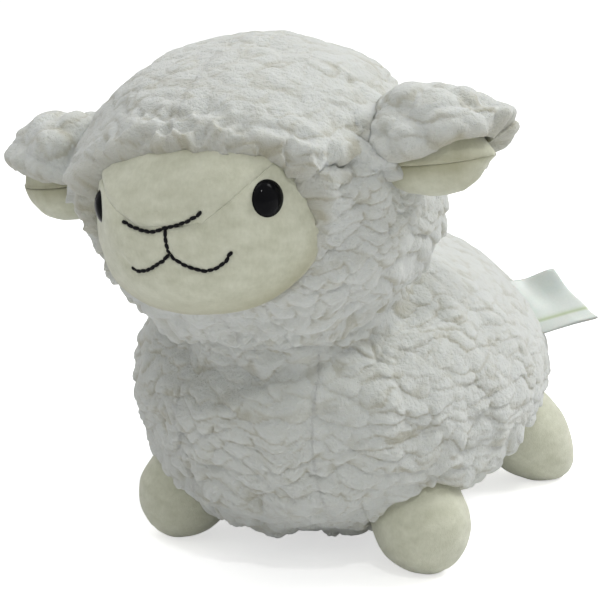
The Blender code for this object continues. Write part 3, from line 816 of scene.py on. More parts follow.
print("face", [round(v * 2000, 1) for v in FACE_HALF], "mm across and high")

# %% [markdown]
# The pile rises at the brow and above the visor's line, and it stands in a mound at each ear's
# root. Below the face it is pressed flat. Single tufts lean over the velour, and others hang from
# the chin.

# %% Head pile
FLEECE_OVER = (-0.0060, 0.0120)
FACE_STEP = 0.0016
FACE_SWELL = 0.0028
FACE_ROLL = 0.0030
CHIN_SINK = 0.0030
CHIN_HANG = np.array([0.0, -0.0014, -0.0020])
VISOR_SWELL = 0.0030
VISOR_HOLLOW = 0.0014
VISOR_DROOP = 0.0026
VISOR_FALL = np.array([0.0, -0.1, -1.0])
BROW_LEAN = 0.0040
BROW_TUFT = 0.0050
EAR_MOUND = 0.0048
EAR_MOUND_UP = 0.0050
EAR_MOUND_WIDTH = 0.0135
CROWN_SMOOTH = 0.30


def head_swell(points, edge):
    """Thick pile overhangs the brow. Under the cheeks it is flat and the velour stands out."""
    away = np.maximum(face_edge(points), 0.0)
    top = ramp(in_head(points)[:, 2], *FLEECE_OVER)
    rise = FACE_SWELL * top * fade(away, 0.009)
    chin = CHIN_SINK * (1.0 - top) * fade(away, 0.013)
    fall = (FACE_STEP * top + rise) * rolled(away, FACE_ROLL)[1]
    for ear in ears.values():
        mound = away_from(points, ear + EAR_MOUND_UP * head_axes[:, 2])
        rise = rise + EAR_MOUND * fade(mound, EAR_MOUND_WIDTH)
    above, share = visor(points)
    over = ramp(above, -0.0006, 0.0010)
    rise = rise + share * VISOR_SWELL * over * fade(np.maximum(above, 0.0), 0.0075)
    rise = rise - share * VISOR_HOLLOW * (1.0 - over) * fade(np.minimum(above, 0.0), 0.0050)
    return rise - fall - chin


def brow_lean(points, edge):
    """Tufts at the opening lean in over the velour, and under the chin they hang down."""
    near = clumps(points, BROW_TUFT, 611)[0]
    tuft = np.clip(1.15 - 2.8 * near ** 2, 0.0, 1.0)
    local = in_head(points)
    inward = np.column_stack([-local[:, 0], 0.0 * edge, FACE_RISE - local[:, 2]])
    inward = unit(inward) @ head_axes.T
    share = 0.25 + 0.75 * ramp(local[:, 2], *FLEECE_OVER)
    brow = BROW_LEAN * share * tuft * fade(np.maximum(face_edge(points), 0.0), 0.0048)
    above, side = visor(points)
    droop = VISOR_DROOP * side * fade(above - 0.0006, 0.0022) * tuft
    low = away_from(points, NECK_PLACE) - HEAD_NECK
    hanging = fade(low - 0.0035, 0.0040) * ramp(-local[:, 1], -0.010, 0.012) * tuft
    return inward * brow[:, None] + VISOR_FALL * droop[:, None] + CHIN_HANG * hanging[:, None]


def head_roughness(points):
    """The crown's pile is brushed smoother."""
    return 1.0 - CROWN_SMOOTH * ramp(in_head(points)[:, 2], 0.020, 0.040)


print("brow's tufts reach", BROW_LEAN)

# %% Head panels
HEAD_CUTS = 111


def stuffed_head(directions):
    """Places on the head's form as its filling rounds it."""
    return settle(to_world(head_frame, head_form(directions)), HEAD_PLACE, HEAD_LUMPS)


head_skin = ball_cage(HEAD_CUTS)
put(head_skin, stuffed_head(even(places(head_skin))))
head_normals = skin_normals(head_skin)
for side_name, side in SIDES.items():
    bm = head_skin.copy()
    cut(bm, head_frame.translation, head_way(1, 0, 0) * -side, drop=True)
    drop_faces(bm, lambda p: head_edge(p) < 0.0)
    ease_rim(bm, crown_seam)
    piece = dress("sherpa_head_fleece_" + side_name, bm, 211, head_roughness, head_swell,
                  normals_at=head_normals, on_seam=crown_seam, edge_at=head_edge, lean=brow_lean)
    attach(piece, "head")
    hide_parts("head_fleece_" + side_name)

# %% [markdown]
# The face is velour: short dense pile on a knitted back, so it shows every pull of the thread.
# The bridge is a wedge from the nose up between the eyes, sewn to the cheek panel. The embroidery
# draws the cloth in, and each eye sits in a slight hollow, because its washer pulls it against
# the filling. Each stitched line says where it runs, how deep it sinks the cloth and how wide.

# %% Face lines
STITCHED = {
    "nose_stitch": ([(-0.0153, 0.0173), (-0.0122, 0.0158), (-0.0092, 0.0148), (-0.0063, 0.0145),
                     (-0.0038, 0.0148), (-0.0013, 0.0154), (0.0012, 0.0159), (0.0037, 0.0164),
                     (0.0072, 0.0176), (0.0106, 0.0191)], 0.0008, 0.0016),
    "philtrum_stitch": ([(-0.0015, 0.0150), (-0.0013, 0.0112), (-0.0017, 0.0080)], 0.0006, 0.0012),
    "left_mouth_stitch": ([(-0.0015, 0.0076), (0.0013, 0.0056), (0.0054, 0.0032), (0.0085, 0.0021),
                           (0.0115, 0.0025), (0.0148, 0.0045), (0.0164, 0.0071)], 0.0008, 0.0014),
    "right_mouth_stitch": ([(-0.0019, 0.0076), (-0.0050, 0.0057), (-0.0085, 0.0038),
                            (-0.0118, 0.0026), (-0.0145, 0.0023), (-0.0172, 0.0042),
                            (-0.0186, 0.0062)], 0.0008, 0.0014)}
EYE_SPOT = (0.0265, 0.0172)
EYE_HOLLOW = 0.0006
EYE_TILT = 0.36
FACE_TUCK = 0.0036
FACE_FULLNESS = ((0.0005, 0.016, 401), (0.0002, 0.006, 402))
CHEEK_OUT = 0.0022
BRIDGE_LOW = 0.0162
BRIDGE_LOW_HALF = 0.0101
BRIDGE_SLOPE = 0.551


def line_distance(flat, line):
    """Distance from flat points to a line of straight runs."""
    best = np.full(len(flat), 1.0)
    for a, b in zip(line[:-1], line[1:]):
        a, b = np.array(a), np.array(b)
        along = np.clip(((flat - a) @ (b - a)) / ((b - a) @ (b - a)), 0.0, 1.0)
        best = np.minimum(best, np.linalg.norm(flat - a - along[:, None] * (b - a), axis=1))
    return best


def bridge_side(flat):
    """Above 0 in the bridge panel and below 0 in the cheek panel, in metres."""
    wings = BRIDGE_LOW + BRIDGE_SLOPE * (np.abs(flat[:, 0]) - BRIDGE_LOW_HALF)
    return np.minimum(flat[:, 1] - BRIDGE_LOW,
                      (flat[:, 1] - wings) / math.hypot(1.0, BRIDGE_SLOPE))


def face_relief(local):
    """How far the velour stands above its form: full cheeks, a drawn-in seam and thread lines."""
    flat = local[:, [0, 2]]
    height = roughened(0.0, local, FACE_FULLNESS)
    cheek = 1.0 - ramp(local[:, 2], FLEECE_OVER[0], FLEECE_OVER[1] + 0.002)
    reach = face_reach(to_world(head_frame, local)) - CHEEK_OUT * cheek
    height -= FACE_TUCK * ramp(reach, -0.0024, 0.0026) ** 1.5
    for line, depth, width in STITCHED.values():
        height -= depth * fade(line_distance(flat, line), width)
    seam = bridge_side(flat)
    pucker = 1.0 + 0.35 * drift(local, 0.0022, 403)
    height -= 0.0005 * pucker * fade(seam, 0.0009)
    height += 0.0004 * fade(seam - 0.0022, 0.0014)
    for side in (1, -1):
        outward = side * flat[:, 0] - EYE_SPOT[0]
        away = np.hypot(outward, flat[:, 1] - EYE_SPOT[1])
        height -= EYE_HOLLOW * fade(away, 0.0060)
        height -= EYE_TILT * outward * fade(away, 0.0095)
    return height


def face_shade(points):
    """How much the velour's pile lies in shade: along the fleece, and wider under the mouth."""
    reach = face_reach(points)
    under = 1.0 - ramp(in_head(points)[:, 2], -0.010, 0.004)
    return 0.35 * ramp(reach, -0.0030, 0.0015) + 0.28 * under * ramp(reach, -0.0110, 0.0)


print("stitched lines", len(STITCHED))

# %% [markdown]
# The velour lies a step lower than the fleece and goes on under it. Three planes through the skin
# give the bridge its clean seam: one for each slanting side and a level one below.

# %% Face panels
VELOUR_WALL = 0.0011
VELOUR_UNDER = 0.0036
CHIN_STEP = 0.0003
face_pieces = []


def velour(name, bm, height, shade_at, wall=VELOUR_WALL):
    """Moves an open skin by a height field, closes it with a wall and makes the piece."""
    normals = normals_of(bm)
    put(bm, places(bm) + normals * height[:, None])
    bmesh.ops.solidify(bm, geom=bm.faces[:], thickness=wall)
    bmesh.ops.recalc_face_normals(bm, faces=bm.faces[:])
    # The painted shade is kept in the mesh for the velour's material.
    shade = shade_at(places(bm))
    obj = new_piece(name, bm, velour_mat)
    store(obj, "crease", shade)
    print(name, len(obj.data.polygons), "faces")
    return obj


face_skin = ball_cage(HEAD_CUTS)
plain = in_head(stuffed_head(even(places(face_skin))))
step = CHIN_STEP + (FACE_STEP - CHIN_STEP) * ramp(plain[:, 2], *FLEECE_OVER)
put(face_skin, to_world(head_frame, plain - unit(plain) * step[:, None]))
drop_faces(face_skin, lambda p: face_reach(p) > VELOUR_UNDER)
for wing, slope in ((1, -BRIDGE_SLOPE), (-1, BRIDGE_SLOPE), (-1, 0.0)):
    corner = head_frame @ Vector((wing * BRIDGE_LOW_HALF, 0.0, BRIDGE_LOW))
    cut(face_skin, corner, head_way(*Vector((slope, 0.0, 1.0)).normalized()))
for name, sign in (("face_bridge_panel", 1), ("face_cheek_panel", -1)):
    bm = face_skin.copy()
    drop_faces(bm, lambda p: sign * bridge_side(in_head(p)[:, [0, 2]]) < 0.0)
    height = face_relief(in_head(places(bm)))
    piece = velour("velour_" + name, bm, height, face_shade)
    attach(piece, "head")
    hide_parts(name)
    face_pieces.append(piece)

# %% [markdown]
# Eyes and thread are set on the finished velour: a ray from the front finds the cloth.

# %% Places on the face
RAY_START = -0.12
SLOPE_STEP = 0.002
face_trees = [BVHTree.FromPolygons([v.co for v in o.data.vertices],
                                   [p.vertices[:] for p in o.data.polygons]) for o in face_pieces]


def on_face(x, z):
    """The place on the velour at a sideways and upward place in the head's frame."""
    start = head_frame @ Vector((x, RAY_START, z))
    hits = [t.ray_cast(start, head_way(0, 1, 0)) for t in face_trees]
    return min((h for h in hits if h[0] is not None), key=lambda h: h[3])[0]


def way_out(x, z):
    """The way out of the velour there."""
    across = on_face(x + SLOPE_STEP, z) - on_face(x - SLOPE_STEP, z)
    upward = on_face(x, z + SLOPE_STEP) - on_face(x, z - SLOPE_STEP)
    return across.cross(upward).normalized()


print("nose at", [round(v * 1000, 1) for v in on_face(0.0, 0.0151)],
      "out", [round(v, 2) for v in way_out(0.0, 0.0151)])

# %% [markdown]
# A safety eye is one turned plastic piece: a polished dome, a flat back and a ribbed shank that
# goes through the cloth. Its half outline is spun round its axis.

# %% Eyes
EYE_RADIUS = 0.0056
EYE_DOME = 0.0036
EYE_TURN = math.radians(72.0)
EYE_UP = 0.06
EYE_SUNK = 0.0013
EYE_SET = {"left": (0.0, 0.0), "right": (0.0014, 0.0010)}
EYE_STEPS = 48
SHANK_RADIUS = 0.0016
SHANK_LENGTH = 0.0105
SHANK_RIBS = 5


def eye_outline():
    """Half an outline from the top of the dome to the end of the shank: (radius, height)."""
    dome = [(EYE_RADIUS * math.sin(a), EYE_DOME * math.cos(a))
            for a in np.linspace(0.0, math.pi / 2, 15)]
    lip = [(EYE_RADIUS * 0.985, -0.0004), (EYE_RADIUS * 0.93, -0.0006)]
    shank = [(SHANK_RADIUS, -0.0006)]
    for k in range(SHANK_RIBS):
        low = -0.0022 - k * 0.0016
        shank += [(SHANK_RADIUS, low + 0.0006), (SHANK_RADIUS * 0.82, low + 0.0004),
                  (SHANK_RADIUS * 0.82, low)]
    return dome + lip + shank + [(SHANK_RADIUS * 0.8, -SHANK_LENGTH), (0.0, -SHANK_LENGTH)]


def spin_round(bm, steps):
    """Spins an outline round Z into a closed shape."""
    bmesh.ops.spin(bm, geom=bm.verts[:] + bm.edges[:], cent=(0, 0, 0), axis=(0, 0, 1),
                   angle=math.tau, steps=steps, use_merge=True, use_duplicate=False)
    bmesh.ops.remove_doubles(bm, verts=bm.verts[:], dist=1e-6)
    bmesh.ops.recalc_face_normals(bm, faces=bm.faces[:])


def aimed(place, way, axis="Z"):
    """A frame at a place with one of its axes pointing a way."""
    return Matrix.Translation(place) @ way.to_track_quat(axis, "Y").to_matrix().to_4x4()


for side_name, side in SIDES.items():
    further, deeper = EYE_SET[side_name]
    spot = on_face(side * (EYE_SPOT[0] + further), EYE_SPOT[1])
    outward = head_way(side * math.sin(EYE_TURN), -math.cos(EYE_TURN), EYE_UP)
    bm = bmesh.new()
    verts = [bm.verts.new((r, 0.0, h)) for r, h in eye_outline()]
    for pair in zip(verts[:-1], verts[1:]):
        bm.edges.new(pair)
    spin_round(bm, EYE_STEPS)
    seat = aimed(spot - outward * (EYE_SUNK + deeper), outward)
    bmesh.ops.transform(bm, matrix=seat, verts=bm.verts[:])
    piece = new_piece("polished_eye_" + side_name, bm, eye_mat)
    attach(piece, "head")
    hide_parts(side_name + "_eye")
    nodes[side_name + "_eye_washer"].data.materials[0] = washer_mat
    print(side_name, "eye at", [round(v * 1000, 1) for v in spot])

# %% [markdown]
# The embroidery is back stitch: short straight stitches end to end, each slightly off the line,
# with the twisted thread thicker in the middle of a stitch than where it dives into the cloth.

# %% Embroidery
STITCH = 0.0020
STITCH_WANDER = 0.0004
STITCH_TWIST = 0.45
THREAD = 0.00057
MOUTH_END_SUNK = 0.0008


def along(line, step):
    """Places about a step apart on a smooth line through flat points."""
    pts = np.array(line)
    length = np.concatenate([[0.0], np.cumsum(np.linalg.norm(np.diff(pts, axis=0), axis=1))])
    count = max(2, int(round(length[-1] / step)) + 1)
    t = np.linspace(0.0, length[-1], count)
    x, z = np.interp(t, length, pts[:, 0]), np.interp(t, length, pts[:, 1])
    for row in (x, z, x, z):
        row[1:-1] = (row[:-2] + 2 * row[1:-1] + row[2:]) / 4
    return list(zip(x, z))


def stitch_between(bm, a, b, out, twist, sunk):
    """One stitch: a short rod of thread, swollen in the middle and dipped at both ends."""
    middle, run = (a + b) / 2 - out * sunk, (b - a)
    length = run.length * 1.06
    made = bmesh.ops.create_uvsphere(bm, u_segments=8, v_segments=8, radius=1.0)["verts"]
    for v in made:
        v.co = Vector((v.co.x * THREAD, v.co.y * THREAD,
                       math.copysign(abs(v.co.z) ** 0.75, v.co.z) * length / 2))
    turn = Matrix.Rotation(twist, 4, out) @ run.to_track_quat("Z", "Y").to_matrix().to_4x4()
    seat = Matrix.Translation(middle + out * THREAD * 0.35) @ turn
    bmesh.ops.transform(bm, matrix=seat, verts=made)


for name, (line, depth, width) in STITCHED.items():
    bm = bmesh.new()
    spots = along(line, STITCH)
    for i, (p, q) in enumerate(zip(spots[:-1], spots[1:])):
        a, b = on_face(*p), on_face(*q)
        wobble = scatter(np.array([[i, len(name), k] for k in (7, 8, 9)]), 5) - 0.5
        out = way_out(*p)
        side = out.cross((b - a).normalized())
        a, b = a + side * wobble[1] * STITCH_WANDER, b + side * wobble[2] * STITCH_WANDER
        corner = float(ramp(np.array(-p[0]), 0.0136, 0.0160)) if "mouth" in name else 0.0
        stitch_between(bm, a, b, out, wobble[0] * STITCH_TWIST, MOUTH_END_SUNK * corner)
    piece = new_piece("thread_" + name, bm, thread_mat)
    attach(piece, "head")
    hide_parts(name)
    print(name, len(spots) - 1, "stitches")

# %% [markdown]
# An ear is a leaf of fleece folded along its length, open in front. Its velour lining is rolled
# up nearly all the way round, and the roll's front is what shows in the fold. Each outer side is
# laid out as a grid, along the ear and round the curl.

# %% Ear form
EAR_LENGTH = 0.0325
EAR_RADIUS = 0.0148
EAR_WALL = 0.0040
EAR_FLEECE = {"inset": 0.0, "middle": math.radians(50.0), "spread": math.radians(108.0),
              "tip_share": 0.62, "start": -0.30}
EAR_LINING = {"inset": EAR_WALL + 0.0002, "middle": math.radians(-14.0),
              "spread": math.radians(179.6), "tip_share": 1.0, "start": -0.10}
EAR_RADII = (0.80, 0.97, 1.04, 1.04, 0.98, 0.82, 0.50)
EAR_SHORT = {"left": 0.98, "right": 0.88}
EAR_BOW = 0.12
TIP_START = 0.60
TIP_LENGTH = 0.402
TIP_ROUND = 2.4


def ear_local(points, side_name):
    """Points seen from the ear's root: out along the ear, back and up."""
    return (points - ears[side_name]) @ head_axes


def face_outward(bm, root, along):
    """Turns an open skin's faces so that they look away from a line."""
    outward = 0.0
    for f in bm.faces:
        away = f.calc_center_median() - root
        outward += f.normal.dot(away - along * away.dot(along))
    if outward < 0:
        bmesh.ops.reverse_faces(bm, faces=bm.faces[:])


def leaf(side_name, form, steps):
    """A curled leaf's outer surface as an open skin. With an inset its tip closes to a dome."""
    bm = bmesh.new()
    bmesh.ops.create_grid(bm, x_segments=steps[0], y_segments=steps[1], size=1.0)
    p = places(bm)
    start, side = form["start"], SIDES[side_name]
    s, t = start + (1.0 - start) * (p[:, 0] + 1.0) / 2, p[:, 1]
    radius = EAR_RADIUS * np.interp(s * 6, range(7), EAR_RADII) - form["inset"]
    narrowing = 1.0 + (form["tip_share"] - 1.0) * np.clip(s, 0, 1) ** 3
    angle = form["middle"] + form["spread"] * t * narrowing
    reach = EAR_LENGTH * EAR_SHORT[side_name] * (s - EAR_BOW * s * t * t)
    if form["inset"]:
        tip = np.maximum(s - TIP_START, 0.0) / TIP_LENGTH
        radius = radius * np.sqrt(np.clip(1.0 - tip ** TIP_ROUND, 0.0, 1.0))
        reach = EAR_LENGTH * EAR_SHORT[side_name] * 0.95 * s
    local = np.column_stack([side * reach, radius * np.cos(angle), radius * np.sin(angle)])
    put(bm, local @ head_axes.T + ears[side_name])
    bmesh.ops.recalc_face_normals(bm, faces=bm.faces[:])
    face_outward(bm, Vector(ears[side_name]), head_way(side, 0, 0))
    return bm


print("ears at", [round(v * 1000, 1) for v in ears["left"]])

# %% Ear pile
EAR_PUFF = 0.0082
EAR_PUFF_HEIGHT = 0.0034
EAR_PUFF_SPLIT = 0.0008
EAR_PUFF_STRETCH = np.array([0.9, 0.9, 1.1])
EAR_FULL = (0.0026, 0.0022)
EAR_CLUMP = 0.0046
EAR_TUFT = {"left": 0.0042, "right": 0.0004}


def ear_puffs(side_name):
    """The ear's pile stands in big loose puffs. It is thickest on top, near the head."""
    def swell(points, edge):
        near, next_near, below = clumps(points * EAR_PUFF_STRETCH, EAR_PUFF, 540)
        q = ear_local(points, side_name)
        upward = ramp(np.sin(np.arctan2(q[:, 2], q[:, 1]) + math.radians(10.0)), -0.1, 0.9)
        full = upward * (EAR_FULL[0] + EAR_FULL[1] * fade(np.abs(q[:, 0]) - 0.004, 0.014))
        puff = EAR_PUFF_HEIGHT * (0.7 - near ** 2)
        split = EAR_PUFF_SPLIT * fade(next_near - near, CLUMP_CREASE)
        return (puff - split + full) * ramp(edge, -0.004, 0.004)
    return swell


def ear_tufts(side_name):
    """Clump tips stand out past the ear's outer end."""
    def lean(points, edge):
        near = clumps(points, EAR_CLUMP, 640)[0]
        q = ear_local(points, side_name)
        end = ramp(np.abs(q[:, 0]), EAR_LENGTH * 0.62, EAR_LENGTH * 0.98)
        tuft = EAR_TUFT[side_name] * end * np.clip(1.1 - 2.2 * near ** 2, 0.0, 1.0)
        return np.array(head_way(SIDES[side_name], 0.0, 0.35)) * tuft[:, None]
    return lean


def ear_shade(side_name):
    """1 in the shaded bottom of the curl near the head, 0 at the rims and at the tip."""
    def depth(points):
        q = ear_local(points, side_name)
        inner = ramp(-np.hypot(q[:, 1], q[:, 2]), -0.0112, -0.0085)
        front = ramp(-q[:, 1], -0.006, 0.006)
        turn = np.degrees(np.arctan2(q[:, 2], q[:, 1])) % 360.0
        # Painted shade: a soft band along the slit under the fleece's front rim, the curl's bottom
        # near the head, and a faint shade all over near the head.
        shade = 0.45 * fade(turn - 168.0, 17.0) + 0.4 * inner * front
        return np.clip(0.05 + shade, 0, 1) * ramp(-np.abs(q[:, 0]), -0.040, -0.010)
    return depth


print("ears' puffs", EAR_PUFF)

# %% Ear pieces
EAR_LIP = {"left": -0.0006, "right": 0.0004}
EAR_FLEECE_STEPS = ((64, 120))
EAR_LINING_STEPS = (70, 100)
EAR_ROUGHNESS = 0.95


def lining_relief(points, side_name):
    """The lining's slight unevenness, and how far its lower side is drawn in or stands out."""
    q = ear_local(points, side_name)
    turn = np.degrees(np.arctan2(q[:, 2], q[:, 1]))
    low = np.maximum(ramp(-turn, 40.0, 78.0), ramp(turn, 163.5, 166.5))
    lip = EAR_LIP[side_name] * low * ramp(np.abs(q[:, 0]), -0.004, 0.010)
    return roughened(lip, points, ((0.0004, 0.009, 520 + SIDES[side_name]),
                                   (0.00015, 0.003, 530)))


for side_name, side in SIDES.items():
    bm = leaf(side_name, EAR_FLEECE, EAR_FLEECE_STEPS)
    piece = dress("sherpa_ear_" + side_name, bm, 500 + side,
                  lambda p: np.full(len(p), EAR_ROUGHNESS), ear_puffs(side_name),
                  wall=EAR_WALL - 0.0004, dip=0.0024, roll=0.0030, lean=ear_tufts(side_name))
    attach(piece, side_name + "_ear")
    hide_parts(side_name + "_ear_fleece")
    bm = leaf(side_name, EAR_LINING, EAR_LINING_STEPS)
    piece = velour("velour_ear_" + side_name, bm, lining_relief(places(bm), side_name),
                   ear_shade(side_name), wall=0.0014)
    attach(piece, side_name + "_ear")
    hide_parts(side_name + "_ear_lining")

# %% [markdown]
# Each paw is a velour teardrop. It is rounded by its filling, flat only under its sole, and its
# root goes up into the fleece. A row of LEGS holds the place across and along, the splay, the
# slant and the reach. The filling is never seen, but it is there: a form inside each cover.

# %% Paws
LEG_ROOT = 0.0152
LEG_FOOT = 0.0166
SOLE_DEPTH = 0.0005
LEGS = {"front": (0.0392, -0.0133, math.radians(32.4), math.radians(-18.8), 0.0212),
        "hind": (0.0347, 0.0783, math.radians(42.5), math.radians(22.5), 0.0350)}
LEG_CUTS = 55
LEG_LUMPS = ((0.0006, 0.013, 601), (0.00022, 0.005, 602))
LEG_SEAM = 0.00018
LEG_FILLING_GAP = 0.0022


def leg_frame(side, x, y, splay, slant, reach):
    turn = Matrix.Rotation(-side * splay, 4, "Y") @ Matrix.Rotation(slant, 4, "X")
    fall = (turn.to_3x3() @ Vector((0, 0, 1))).z
    low = math.hypot(LEG_FOOT * math.sqrt(1.0 - fall ** 2), reach * fall)
    return Matrix.Translation(MIDDLE + Vector((side * x, y, low - SOLE_DEPTH))) @ turn


def leg_form(d, reach, inset=0.0):
    """A teardrop: a round root upward, swelling to the foot downward."""
    d = unit(d)
    swelling = np.clip(-2.0 * d[:, 2], 0.0, 1.0)
    radius = LEG_ROOT + (LEG_FOOT - LEG_ROOT) * swelling - inset
    high = np.where(d[:, 2] >= 0.0, radius, reach - inset)
    return d * np.column_stack([radius, radius, high])


def filling(name, form, place, node, body, cuts=26, lump=0.0008):
    """A lumpy form of loose polyester."""
    bm = ball_cage(cuts)
    local = form(even(places(bm)))
    local = local - unit(local) * (lump * (1.0 + drift(local, 0.012, 701)))[:, None]
    put(bm, to_world(place, local))
    piece = new_piece(name, bm, filling_mat)
    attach(piece, body)
    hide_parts(node)


for end, (x, y, splay, slant, reach) in LEGS.items():
    for side_name, side in SIDES.items():
        name = end + "_" + side_name
        bm = ball_cage(LEG_CUTS)
        place = leg_frame(side, x, y, splay, slant, reach)
        local = leg_form(even(places(bm)), reach)
        put(bm, to_world(place, local))
        normals, points = normals_of(bm), places(bm)
        low = ramp(-local[:, 2] / reach, -0.1, 0.4)
        lumps = low * roughened(0.0, points, LEG_LUMPS)
        seam = LEG_SEAM * low * fade(local[:, 0], 0.0010)
        points = points + normals * (lumps - seam)[:, None]
        points[:, 2] = np.maximum(points[:, 2], 0.0)
        put(bm, points)
        bmesh.ops.recalc_face_normals(bm, faces=bm.faces[:])
        piece = new_piece("velour_paw_" + name, bm, velour_mat)
        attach(piece, name + "_leg")
        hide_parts(name + "_leg_cover")
        filling("filling_paw_" + name, lambda d: leg_form(d, reach, LEG_FILLING_GAP), place,
                name + "_leg_stuffing", name + "_leg", cuts=10, lump=0.0)
print("paws", len(hips))

# %% Filling of the body, the head and the neck
FILLING_GAP = 0.0062
NECK_FILLING = 0.0328
neck_frame = Matrix.Translation(NECK_PLACE) @ Matrix.Rotation(NECK_TILT, 4, "X")
filling("filling_body", lambda d: torso_form(d, FILLING_GAP), torso_frame,
        "body_stuffing", "torso")
filling("filling_head", lambda d: head_form(d, FILLING_GAP), head_frame,
        "head_stuffing", "head")
filling("filling_neck", lambda d: unit(d) * NECK_FILLING, neck_frame,
        "neck_stuffing", "neck_ball")
print("filling's gap", FILLING_GAP)

# %% [markdown]
# At the neck the fleece is gathered by a drawn thread. The gathered cloth makes a soft roll in the
# crease between head and body.

# %% Neck roll
ROLL_RADIUS = 0.0046
ROLL_PLACE = 0.0318
ROLL_RISE = 0.0085
ROLL_STEPS = 240
ROLL_ROUGHNESS = 0.8
bm = bmesh.new()
upright = Matrix.Translation((ROLL_PLACE, 0, ROLL_RISE)) @ Matrix.Rotation(math.pi / 2, 4, "X")
bmesh.ops.create_circle(bm, radius=ROLL_RADIUS, segments=36, matrix=upright)
spin_round(bm, ROLL_STEPS)
bmesh.ops.transform(bm, matrix=neck_frame, verts=bm.verts[:])
normals, points = normals_of(bm), places(bm)
height, depth = pile(points, 801, np.full(len(points), ROLL_ROUGHNESS))
put(bm, points + normals * height[:, None])
piece = new_piece("sherpa_neck_roll", bm, fleece_mat)
# The pile's crease depth sets the fleece's painted crease shade here too.
store(piece, "crease", depth)
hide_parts("neck_seam")
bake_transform(piece)
print("neck roll", len(piece.data.polygons), "faces")

# %% [markdown]
# A woven satin label is folded into a loop, and both its ends are sewn into the left flank. It
# hangs in soft waves. It is bare here, with only a pale line above its plain hem.

# %% Label form
LABEL_WIDTH = 0.0222
LABEL_LENGTH = 0.0170
LABEL_SUNK = 0.0040
LABEL_BACK = 0.0034
LABEL_ROOT = 0.0030
LABEL_LOOP = 0.0010
LABEL_HEM = 0.0046
LABEL_FREE = 0.012
LABEL_CURL = 90.0
LABEL_SHARES = Vector((0.792, 0.433, 0.429)).normalized()
flank = Vector((LABEL_SHARES.x / TORSO_HALF["width"], LABEL_SHARES.y / TORSO_HALF["back"],
                LABEL_SHARES.z / TORSO_HALF["top"]))
flank_out = torso_frame.to_3x3() @ flank.normalized()
flank_down = (flank_out * flank_out.z - Vector((0, 0, 1))).normalized()
flank_front = flank_down.cross(flank_out)
label_away = (flank_out * 0.90 + flank_down * 0.36 - flank_front * 0.26).normalized()
label_seam = (flank_down * 0.92 + flank_out * 0.18 + flank_front * 0.38).normalized()
label_side = label_away.cross(label_seam).normalized()
label_root = Vector(joint_at["label_flap"]) - flank_out * LABEL_SUNK + label_seam * LABEL_BACK
straight = LABEL_LENGTH + LABEL_ROOT - LABEL_LOOP
ribbon = 2 * straight + math.pi * LABEL_LOOP


def waves(x, across):
    """How far the hanging ribbon stands off its plane."""
    top = 0.5 - across / LABEL_WIDTH
    return (0.0018 * math.sin(x / 0.0030 - 0.4) * top ** 1.5
            + 0.0010 * math.cos(across / 0.0046 + 0.9)
            + 0.0003 * math.sin(across / 0.0021 + x / 0.006))


def ribbon_place(run, across):
    """A place on the folded ribbon, from how far along and how far across it is."""
    if run < straight:
        x, z = run - LABEL_ROOT, LABEL_LOOP
    elif run > ribbon - straight:
        x, z = ribbon - run - LABEL_ROOT, -LABEL_LOOP
    else:
        turn = (run - straight) / LABEL_LOOP
        x, z = straight - LABEL_ROOT + LABEL_LOOP * math.sin(turn), LABEL_LOOP * math.cos(turn)
    loose = min(1.0, max(0.0, (x + LABEL_ROOT) / LABEL_FREE))
    low = max(0.0, across - LABEL_WIDTH / 2 + LABEL_HEM)
    z = z * (0.5 + 0.5 * loose) + loose * waves(x, across) - loose * LABEL_CURL * low * low
    return label_root + label_away * x + label_seam * across + label_side * z


print("label ribbon", round(ribbon * 1000, 1), "mm long")

# %% Label cloth
LABEL_CLOTH = 0.00028
LABEL_LINE = LABEL_WIDTH - LABEL_HEM
bm = bmesh.new()
bmesh.ops.create_grid(bm, x_segments=90, y_segments=24, size=1.0)
flat = places(bm)
put(bm, np.array([ribbon_place((p[0] + 1) / 2 * ribbon, p[1] * LABEL_WIDTH / 2)[:] for p in flat]))
nearest = tree_of(places(bm))
bmesh.ops.solidify(bm, geom=bm.faces[:], thickness=LABEL_CLOTH)
bmesh.ops.recalc_face_normals(bm, faces=bm.faces[:])
across = np.array([(flat[nearest.find(v.co)[1]][1] + 1) / 2 * LABEL_WIDTH for v in bm.verts])

label_mat, tree, shader = finish("woven_satin", 0.42, 0.3, {
    "Subsurface Weight": 0.1, "Subsurface Scale": 0.0006})
satin = blend_colours(tree, grain(tree, 1500.0), (0.63, 0.68, 0.64, 1), (0.71, 0.75, 0.71, 1))
lined = blend_colours(tree, stored(tree, "edge_line"), satin, (0.46, 0.54, 0.34, 1))
plug(tree, shader, {"Base Color": lined})
relief(tree, shader, grain(tree, 5200.0, 1.0, (1, 1, 0.3)), 0.0001, 0.4)

label = new_piece("satin_label", bm, label_mat)
store(label, "edge_line", ramp(across, LABEL_LINE - 0.0012, LABEL_LINE - 0.0004)
      * ramp(-across, -LABEL_LINE - 0.0006, -LABEL_LINE))
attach(label, "label")
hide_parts("side_label")
print("label", round(LABEL_WIDTH * 1000, 1), "mm wide")

# %% [markdown]
# The studio: a pale floor that still takes the toy's shadow, a white surround, and broad lamps.

# %% Floor
FLOOR_GLOW = 0.60
FLOOR_HALF = 3.0
FLOOR_DROP = 0.0002


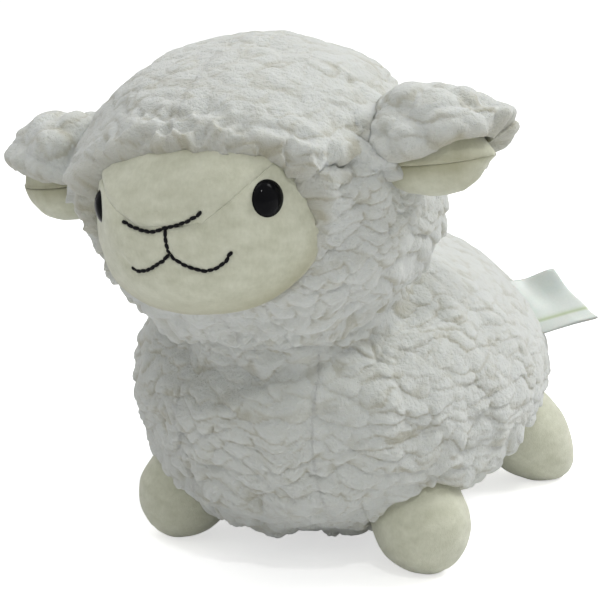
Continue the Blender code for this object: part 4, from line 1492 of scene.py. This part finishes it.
def seen_directly(tree):
    """1 for rays from the camera, a mirror or glass, 0 for the light that falls on things."""
    rays = tree.nodes.new("ShaderNodeLightPath").outputs
    share = math_node(tree, "MAXIMUM", rays["Is Camera Ray"], rays["Is Glossy Ray"])
    return math_node(tree, "MAXIMUM", share, rays["Is Transmission Ray"])


bm = bmesh.new()
bmesh.ops.create_grid(bm, x_segments=1, y_segments=1, size=FLOOR_HALF)
floor_mat, tree, shader = finish("studio_floor", 0.9)
glow = math_node(tree, "MULTIPLY", seen_directly(tree), FLOOR_GLOW)
plug(tree, shader, {"Base Color": (0.86, 0.86, 0.86, 1), "Emission Color": (1, 1, 1, 1),
                    "Emission Strength": glow})
floor = new_piece("floor", bm, floor_mat)
floor.location.z = -FLOOR_DROP
print("floor", FLOOR_HALF * 2, "m wide")

# %% Lamps
LAMPS = {"key": ((0.95, 0.75, 1.40), 0.9, 20.2), "top": ((-0.65, 0.0, 1.35), 1.0, 4.5),
         "fill": ((-0.6, -1.1, 1.15), 1.2, 1.5), "catch": ((0.42, -0.62, 0.86), 0.06, 1.7)}
LAMP_AIM = Vector((0, 0, 0.08))
for name, (place, size, watts) in LAMPS.items():
    light = bpy.data.lights.new(name, "AREA")
    light.energy, light.size = watts, size
    lamp = bpy.data.objects.new(name, light)
    bpy.context.collection.objects.link(lamp)
    lamp.matrix_world = aimed(place, LAMP_AIM - Vector(place), "-Z")
print("lamps", len(LAMPS))

# %% Surround
SKY_LIGHT = 0.34
SKY_SEEN = 1.0
world = bpy.data.worlds.new("surround")
bpy.context.scene.world = world
world.use_nodes = True
tree = world.node_tree
plain_sky = tree.nodes["Background"]
white_sky = tree.nodes.new("ShaderNodeBackground")
for sky, strength in ((plain_sky, SKY_LIGHT), (white_sky, SKY_SEEN)):
    plug(tree, sky, {"Color": (1, 1, 1, 1), "Strength": strength})
shown = plug(tree, tree.nodes.new("ShaderNodeMixShader"),
             {"Fac": seen_directly(tree), 1: plain_sky.outputs["Background"],
              2: white_sky.outputs["Background"]})
plug(tree, tree.nodes["World Output"], {"Surface": shown.outputs["Shader"]})
bpy.context.scene.view_settings.view_transform = "Standard"
print("surround", SKY_LIGHT)
